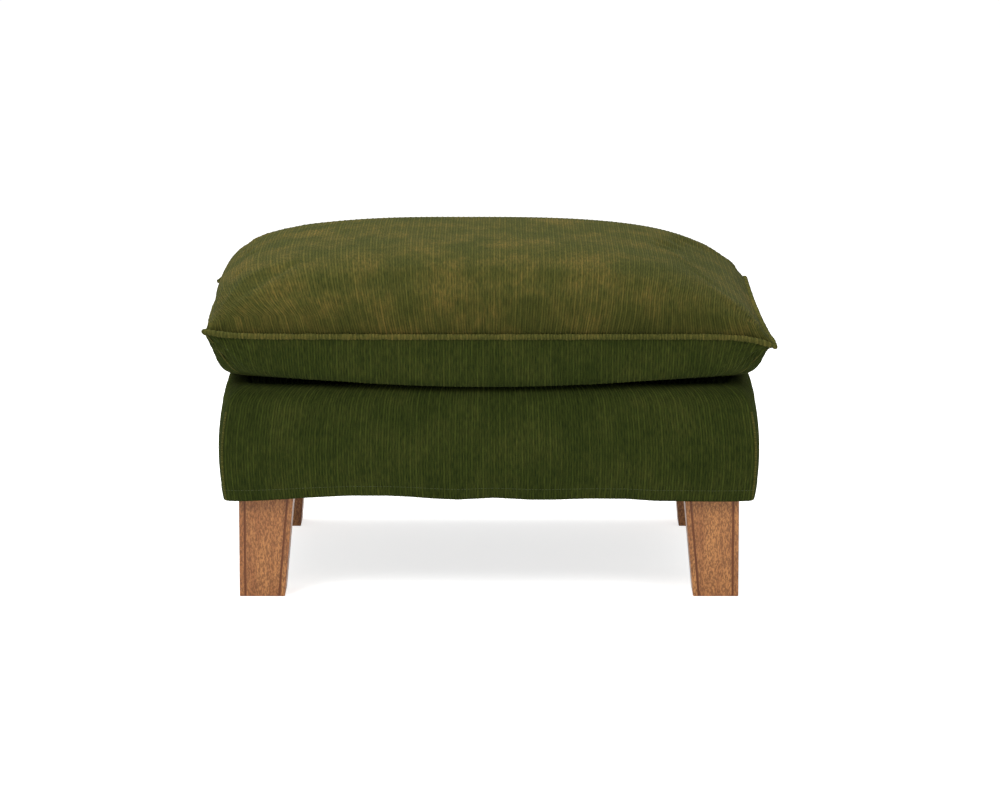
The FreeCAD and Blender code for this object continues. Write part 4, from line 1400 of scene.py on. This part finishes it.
@dataclass
class Fillings:
    """Foam and fibre inside the base and the cushion."""

    foam: bpy.types.Material
    fibre: bpy.types.Material
    cushion: Cushion
    cover: BaseCover

    def block(
        self, node: str, name: str, body: str, material: bpy.types.Material,
        outline: Callable[[float], tuple[float, float, float, float]], edge: float,
        settle: Callable[[float, float, float], float] | None = None,
    ) -> bpy.types.Object:
        """Build a soft block between a node's lowest and highest level.

        Args:
            node: the frame's node that it stands for.
            name: the piece's name.
            body: the body that it rides on.
            material: its finish.
            outline: half width, depth to the front and to the back, and corner radius at a height.
            edge: radius of its upper and lower edges.
            settle: change of height at a point, where the block follows a curved face.

        Returns:
            The piece.
        """
        low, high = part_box(node)
        lump = 0.8 * MM
        shape = bmesh.new()
        bmesh.ops.create_cube(shape, size=2.0)
        bmesh.ops.subdivide_edges(shape, edges=shape.edges[:], cuts=35, use_grid_fill=True)
        for vert in shape.verts:
            z = (low.z + high.z + vert.co.z * (high.z - low.z - 2 * lump)) / 2
            half_x, front, back, radius = outline(z)
            near = min(min(z - low.z, high.z - z) / edge, 1.0)
            inset = lump + edge * (1 - math.sqrt(1 - (1 - near) ** 2))
            wide, deep = half_x - inset, (front + back) / 2 - inset
            x, y = rounded_in(vert.co.x * wide, vert.co.y * deep, wide, deep, radius)
            y += (back - front) / 2
            vert.co = (x, y, z + (settle(x, y, z) if settle else 0.0))
        shape.normal_update()
        for vert in shape.verts:
            vert.co += vert.normal * lump * noise.noise(vert.co * 24)
        bmesh.ops.recalc_face_normals(shape, faces=shape.faces)
        piece = new_piece(name, shape, material)
        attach(piece, body)
        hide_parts(node)
        return piece

    def cushion_outline(self, z: float) -> tuple[float, float, float, float]:
        """Inner outline of the cushion's cover at a height.

        Args:
            z: the height.

        Returns:
            Half the width, the depth to the front and to the back, and the corner radius.
        """
        cushion, clear = self.cushion, CLOTH_THICKNESS + 1.6 * MM
        if z < cushion.seam_z:
            drop = (cushion.seam_z - z) / (cushion.seam_z - cushion.bottom_z)
            half_x, front, back, radius = cushion.ring(min(drop, 1.0))
            return half_x - clear, front - clear, back - clear, max(radius, 24 * MM)
        rise = (z - cushion.seam_z) / cushion.crown_height
        place = cushion.height_share(rise, cushion.left_power)
        drawn_in = min(rise / 0.2, 1.0)
        half_x = cushion.half_x * place - clear - 5 * MM - 14 * MM * drawn_in
        half_y = cushion.half_y * place - clear - 5 * MM
        return half_x, half_y - 6 * MM * drawn_in, half_y, 50 * MM

    def cushion_settle(self, x: float, y: float, z: float) -> float:
        """How far the cushion's lifted corners carry a point of the filling up.

        Args:
            x: place across.
            y: place from front to back.
            z: height.

        Returns:
            The change, upwards.
        """
        cushion = self.cushion
        share = (cushion.seam_z - z) / (cushion.seam_z - cushion.bottom_z)
        return cushion.lift(x, y) * min(max(share, 0.0), 1.0)

    def slab_outline(self, z: float) -> tuple[float, float, float, float]:
        """Inner outline of the base cover's shoulder at a height.

        Args:
            z: the height.

        Returns:
            Half the width, the depth to the front and to the back, and the corner radius.
        """
        cover, clear = self.cover, CLOTH_THICKNESS + 2 * MM
        inward = float(np.interp(z + clear, cover.profile[2], cover.profile[1])) + clear
        half_y = cover.half_y - inward
        return cover.half_x - inward, half_y, half_y, cover.corner + 24 * MM

    def side_padding(self, side: Side) -> bpy.types.Object:
        """Build the pad between one rail and the cover.

        Args:
            side: the side.

        Returns:
            The piece.
        """
        node = f"base_padding_{side.label}"
        low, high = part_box(node)
        clear = CLOTH_THICKNESS + 1.2 * MM
        cover = self.cover
        frame_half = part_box("front_rail")[1].x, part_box("back_rail")[1].y

        def outer(s: float, t: float) -> Vector:
            """Point of the pad's outer face."""
            z = low.z + (t + 1) / 2 * (high.z - low.z)
            rise = float(np.interp(z + 5 * MM, cover.profile[2], cover.profile[0]))
            point = cover.side_point(side, s * 0.975, rise)
            point = Vector((point.x, point.y, z)) - Vector((*side.outward, 0)) * clear
            if not side.faces_y:
                point.y = min(max(point.y, -frame_half[1]), frame_half[1])
            return point

        shape = shaped_grid(48, 14, outer, outward_from=cover.centre)
        grown = bmesh.ops.extrude_face_region(shape, geom=shape.faces[:])
        for vert in [item for item in grown["geom"] if isinstance(item, bmesh.types.BMVert)]:
            if side.faces_y:
                vert.co.y = side.outward.y * (frame_half[1] + 0.3 * MM)
            else:
                vert.co.x = side.outward.x * (frame_half[0] + 0.3 * MM)
        bmesh.ops.recalc_face_normals(shape, faces=shape.faces)
        piece = new_piece(f"padding_{side.label}", shape, self.fibre)
        fit(piece, "base", node)
        return piece

    def crown_wadding(self) -> bpy.types.Object:
        """Build the domed fibre layer under the crown.

        Returns:
            The piece.
        """
        low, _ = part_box("cushion_wadding_top")
        cushion = self.cushion

        def place(s: float, t: float) -> Vector:
            """Point of the dome's upper face."""
            s, t = rounded_in(s, t, 1.0, 1.0, 0.35)
            point = cushion.crown_point(s * 0.9, t * 0.9, inset=CLOTH_THICKNESS + 5 * MM)
            return Vector((point.x, point.y, max(point.z, low.z + 1 * MM)))

        shape = shaped_grid(90, 72, place, outward_from=cushion.centre)
        grown = bmesh.ops.extrude_face_region(shape, geom=shape.faces[:])
        for vert in [item for item in grown["geom"] if isinstance(item, bmesh.types.BMVert)]:
            vert.co.z = low.z
        bmesh.ops.recalc_face_normals(shape, faces=shape.faces)
        piece = new_piece("cushion_wadding_dome", shape, self.fibre)
        fit(piece, "cushion", "cushion_wadding_top")
        return piece

    def build(self) -> None:
        """Build every filling."""
        slab = self.block(
            "base_top_foam", "base_foam_slab", "base", self.foam, self.slab_outline, 3 * MM
        )
        for side in Side:
            self.side_padding(side)
        core = self.block(
            "cushion_foam_core", "cushion_core", "cushion", self.foam, self.cushion_outline, 10 * MM,
            self.cushion_settle,
        )
        lower = self.block(
            "cushion_wadding_bottom", "cushion_wadding_base", "cushion", self.fibre, self.cushion_outline,
            4 * MM, self.cushion_settle,
        )
        self.crown_wadding()
        LOG.info("fillings")


@dataclass
class Underside:
    """Cloth and tapes under the frame, and the felt over the springs."""

    lining: bpy.types.Material
    felt: bpy.types.Material
    hook: bpy.types.Material
    sag: float = 2.5 * MM

    def flat_cloth(
        self, node: str, name: str, material: bpy.types.Material, sag: float
    ) -> bpy.types.Object:
        """Build a sheet in a node's box that hangs a little between its edges.

        Args:
            node: the frame's node that it stands for.
            name: the piece's name.
            material: its finish.
            sag: how far its middle hangs.

        Returns:
            The piece.
        """
        low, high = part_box(node)
        size, middle = high - low, (low + high) / 2

        def place(s: float, t: float) -> Vector:
            """Point of the sheet's face."""
            dip = sag * (1 - s * s) * (1 - t * t) * (1 + 0.6 * noise.noise(Vector((s * 3, t * 3, 1))))
            return Vector((middle.x + s * size.x / 2, middle.y + t * size.y / 2, high.z - dip))

        shape = shaped_grid(72, 60, place, outward_from=middle + Vector((0, 0, 1)))
        piece = new_piece(name, shape, material)
        give_thickness(piece, size.z * 0.9)
        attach(piece, "base")
        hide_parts(node)
        return piece

    def strips(self, node: str, name: str) -> None:
        """Build the four tapes of one kind, each with a puckered face.

        Args:
            node: the frame's node that they stand for.
            name: the piece's name.
        """
        shape = bmesh.new()
        for low, high in self.loose_boxes(node):
            size, middle = high - low, (low + high) / 2
            grid = bmesh.ops.create_grid(shape, x_segments=24, y_segments=10, size=0.5)["verts"]
            for vert in grid:
                pucker = noise.noise(Vector((vert.co.x * 9, vert.co.y * 5, middle.x))) * 0.15 * size.z
                vert.co = Vector((
                    middle.x + vert.co.x * size.x, middle.y + vert.co.y * size.y, high.z - 0.1 * MM + pucker
                ))
            faces = list({face for vert in grid for face in vert.link_faces})
            bmesh.ops.solidify(shape, geom=faces, thickness=size.z * 0.8)
        bmesh.ops.recalc_face_normals(shape, faces=shape.faces)
        piece = new_piece(name, shape, self.hook)
        fit(piece, "base", node)
        LOG.info("%s", name)

    def loose_boxes(self, node: str) -> list[tuple[Vector, Vector]]:
        """Boxes of a node's separate solids, from one merged copy of its mesh.

        Args:
            node: the frame's node.

        Returns:
            The lowest and the highest corner of each solid.
        """
        shape = bmesh.new()
        shape.from_mesh(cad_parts[node].data)
        bmesh.ops.remove_doubles(shape, verts=shape.verts, dist=1e-6)
        left, boxes = set(shape.verts), []
        while left:
            found, queue = set(), [left.pop()]
            while queue:
                vert = queue.pop()
                found.add(vert)
                near = {edge.other_vert(vert) for edge in vert.link_edges} & left
                left -= near
                queue += list(near)
            places = np.array([vert.co for vert in found])
            boxes.append((Vector(places.min(0)), Vector(places.max(0))))
        shape.free()
        return sorted(boxes, key=lambda pair: tuple(pair[0]))

    def build(self) -> None:
        """Build the cloths and the tapes."""
        cover = self.flat_cloth("dust_cover", "dust_cover_cloth", self.lining, self.sag)
        felt = self.flat_cloth("spring_insulator", "insulator_felt", self.felt, 0.4 * MM)
        self.strips("cover_hook_tapes", "hook_tapes")
        self.strips("cover_loop_tabs", "loop_tabs")
        LOG.info("underside")


@dataclass
class Zip:
    """Zip across the back boxing: two woven tapes and a chain of coil teeth."""

    tape: bpy.types.Material
    coil: bpy.types.Material
    tooth_pitch: float = 1.9 * MM

    def tapes(self) -> None:
        """Build the two tapes with their thin woven edges."""
        for label in ("upper", "lower"):
            node = f"zip_tape_{label}"
            low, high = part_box(node)
            size, middle = high - low, (low + high) / 2

            def place(s: float, t: float) -> Vector:
                """Point of the tape's face."""
                wave = 0.12 * MM * math.sin(2 * math.pi * s * size.x / (11 * MM))
                y = high.y - 0.1 * MM + wave * (1 - t * t)
                return Vector((middle.x + s * size.x / 2, y, middle.z + t * size.z / 2))

            shape = shaped_grid(260, 6, place, outward_from=Vector((0, 0, middle.z)))
            piece = new_piece(f"zip_{label}_tape", shape, self.tape)
            give_thickness(piece, 0.6 * MM)
            fit(piece, "cushion", node)

    def chain(self) -> None:
        """Build the interlocking teeth, each a small bevelled bar with its head past the middle."""
        low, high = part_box("zip_chain")
        size, middle = high - low, (low + high) / 2
        shape = bmesh.new()
        count = int(size.x / self.tooth_pitch * 2)
        for number in range(count):
            x = low.x + (number + 0.5) * size.x / count
            up = 1 if number % 2 else -1
            reach = size.z * 0.5
            place = Vector((x, middle.y + 0.1 * MM, middle.z + up * (size.z / 2 - reach / 2 - 0.1 * MM)))
            turn = Matrix.Rotation(up * math.radians(9), 4, "Y")
            scale = Matrix.Diagonal((self.tooth_pitch * 0.42, size.y * 0.8, reach * 1.06, 1))
            bmesh.ops.create_cube(shape, size=1.0, matrix=Matrix.Translation(place) @ turn @ scale)
        bmesh.ops.bevel(
            shape, geom=shape.edges[:], offset=0.16 * MM, segments=1, profile=0.5,
            affect="EDGES", material=-1,
        )
        piece = new_piece("zip_coil_teeth", shape, self.coil)
        fit(piece, "cushion", "zip_chain")

    def build(self) -> None:
        """Build the tapes and the chain."""
        self.tapes()
        self.chain()
        LOG.info("zip")


@dataclass
class Studio:
    """Pale floor, soft lamps and the photograph's camera."""

    floor_size: float = 40.0
    ambient: float = 0.3
    floor_lift: float = 0.74

    def camera(self) -> None:
        """Set the camera at the photograph's angle."""
        data = bpy.data.cameras.new("photo_camera")
        data.lens = CAMERA_LENS_MM
        data.sensor_width = SENSOR_MM
        data.clip_end = 200
        eye = bpy.data.objects.new("photo_camera", data)
        eye.location = CAMERA_PLACE
        eye.rotation_euler = (math.radians(CAMERA_PITCH_DEGREES), 0, 0)
        bpy.context.scene.collection.objects.link(eye)
        bpy.context.scene.camera = eye

    def lamp(self, name: str, place: Sequence[float], size: float, power: float) -> None:
        """Hang one square soft lamp, turned to the footstool.

        Args:
            name: the lamp's name.
            place: where it hangs.
            size: its width.
            power: its power in watts.
        """
        data = bpy.data.lights.new(name, "AREA")
        data.size = size
        data.energy = power
        light = bpy.data.objects.new(name, data)
        light.location = place
        aim = Vector((0, 0, 0.3)) - Vector(place)
        light.rotation_euler = aim.to_track_quat("-Z", "Y").to_euler()
        bpy.context.scene.collection.objects.link(light)

    def seen_white(self, tree: bpy.types.NodeTree) -> bpy.types.NodeSocket:
        """1 for camera, glossy and transmission rays, which see the white backdrop.

        Args:
            tree: the node tree that takes it.

        Returns:
            A socket of 0 or 1.
        """
        path = add_node(tree, "LightPath").node.outputs
        most = add_node(tree, "Math", (path["Is Camera Ray"], path["Is Glossy Ray"]), operation="MAXIMUM")
        return add_node(tree, "Math", (most, path["Is Transmission Ray"]), operation="MAXIMUM")

    def backdrop(self) -> None:
        """Make the world: soft ambient light, and white where it is seen."""
        world = bpy.data.worlds.new("studio_world")
        tree = cleared_tree(world)
        ambient = add_node(tree, "Background", {"Color": (1, 1, 1, 1), "Strength": self.ambient})
        white = add_node(tree, "Background", {"Color": (1, 1, 1, 1), "Strength": 1.0})
        both = add_node(tree, "MixShader", (self.seen_white(tree), ambient, white))
        add_node(tree, "OutputWorld", {"Surface": both})
        bpy.context.scene.world = world

    def floor(self) -> None:
        """Lay the pale floor, which keeps the shadow."""
        material = bpy.data.materials.new("painted_floor")
        tree = cleared_tree(material)
        share = cloud(tree, add_node(tree, "TexCoord", output="Object"), (3.0, 3.0, 3.0))
        tone = add_node(tree, "Mix", {0: share, 6: linear("F4F4F2"), 7: linear("FAFAF8")}, **COLOUR_MIX)
        matt = add_node(tree, "BsdfDiffuse", {"Color": tone})
        lift = add_node(tree, "Math", (self.seen_white(tree), self.floor_lift), operation="MULTIPLY")
        glow = add_node(tree, "Emission", {"Color": (1, 1, 1, 1), "Strength": lift})
        total = add_node(tree, "AddShader", (matt, glow))
        add_node(tree, "OutputMaterial", {"Surface": total})
        shape = bmesh.new()
        bmesh.ops.create_grid(shape, x_segments=2, y_segments=2, size=self.floor_size / 2)
        ground = new_piece("floor", shape, material)

    def build(self) -> None:
        """Set up the camera, the lamps, the backdrop and the floor."""
        self.camera()
        self.backdrop()
        self.floor()
        self.lamp("overhead_softbox", (-0.6, 0.3, 3.1), 2.4, 78)
        self.lamp("front_left_softbox", (-1.7, -3.0, 3.0), 1.5, 62)
        self.lamp("front_right_softbox", (2.2, -3.0, 2.8), 1.5, 34)
        bpy.context.scene.view_settings.view_transform = "Standard"


def dress(names: Iterable[str], material: bpy.types.Material) -> None:
    """Give carried-over frame nodes their finish.

    Args:
        names: the frame's nodes.
        material: their finish.
    """
    for name in names:
        for mesh_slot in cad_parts[name].material_slots:
            mesh_slot.material = material


def dress_frame(legs: Legs) -> None:
    """Finish the wooden and metal parts, which keep their shape from the frame.

    Args:
        legs: the sizes of the legs and their grooves.
    """
    half_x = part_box("leg_front_right")[1].x
    half_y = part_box("leg_back_right")[1].y
    wood = StainedHardwood(
        "stained_beech_legs", light="CB8C52", dark="A66A3C", pore="63391C", groove_shade="7C4620",
        half_x=half_x, half_y=half_y,
    ).material(legs)
    pine = SawnSoftwood("sawn_pine_frame", light="D9B98A", dark="B88C58").material()
    zinc = PlainMetal("zinc_plated_steel", "B9BAB6", "8C8C86", 0.38).material()
    wire = PlainMetal("oil_tempered_spring_wire", "5A5852", "34322E", 0.45).material()
    brass = PlainMetal("antique_brass_zip", "8A7446", "4F4128", 0.4).material()
    names = list(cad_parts)
    dress((name for name in names if name.startswith(("leg_front", "leg_back"))), wood)
    blocks = "corner_block_front", "corner_block_back"
    dress((name for name in names if name.endswith("_rail") or name.startswith(blocks)), pine)
    dress((
        "frame_screws", "corner_block_screws", "leg_hanger_bolts", "leg_t_nuts", "dust_cover_staples",
        "spring_clips", "spring_clip_nails",
    ), zinc)
    dress((name for name in names if name.startswith(("seat_spring_", "spring_tie_wire"))), wire)
    dress(["zip_slider", "zip_pull", "zip_end_stops"], brass)
    LOG.info("frame parts dressed")


def main() -> None:
    """Build the footstool's looks in order."""
    logging.basicConfig(level=logging.INFO, format="%(name)s: %(message)s")
    Studio().build()
    side_cloth = Corduroy(
        "corduroy_upright", pile="45501F", groove_shade="1C250D", crushed_sheen="60552A", crushed_sheen_share=0.2
    ).material()
    # The top's copy of the cloth is lighter and browner: pile pressed flat by sitting, with painted sheen.
    top_cloth = Corduroy(
        "corduroy_sat_on_painted_sheen", pile="5B5B29", groove_shade="293013", crushed_sheen="7E6432", crushed_sheen_share=0.6
    ).material()
    # The welt's copy of the cloth is lighter: a painted highlight where the raised band catches light. The
    # raised corner seams share it.
    welt_cloth = Corduroy(
        "corduroy_welt_band_painted_highlight", pile="6C6A34", groove_shade="323818", crushed_sheen="7E6230", crushed_sheen_share=0.4
    ).material()
    thread = WovenCloth("sewing_thread", light="4A5229", dark="2E3619", thread=0.5 * MM).material()
    foam = SoftFill("cut_polyether_foam", light="E9DFBE", dark="C9BA8E").material()
    fibre = SoftFill(
        "carded_polyester_wadding", light="F2F1EC", dark="CFCEC8", grain=4 * MM, depth=1.5 * MM
    ).material()
    lining = WovenCloth("spun_bonded_lining", light="2E2E2C", dark="1B1B1A", fuzz=0.7).material()
    felt = WovenCloth("needled_felt", light="8C8880", dark="5E5B55", fuzz=0.85).material()
    hook = WovenCloth("woven_hook_and_loop", light="34382A", dark="1C1F15", thread=1.4 * MM).material()
    tape = WovenCloth("woven_zip_tape", light="3C4824", dark="262F16", thread=0.8 * MM).material()
    coil = WovenCloth("moulded_polyester_coil", light="4A5530", dark="333C20", thread=0.6 * MM).material()

    dress_frame(Legs())
    cover = BaseCover(side_cloth, welt_cloth, thread)
    cover.build()
    cushion = Cushion(top_cloth, side_cloth, welt_cloth)
    cushion.build()
    Fillings(foam, fibre, cushion, cover).build()
    Underside(lining, felt, hook).build()
    Zip(tape, coil).build()


if __name__ == "__main__":
    main()
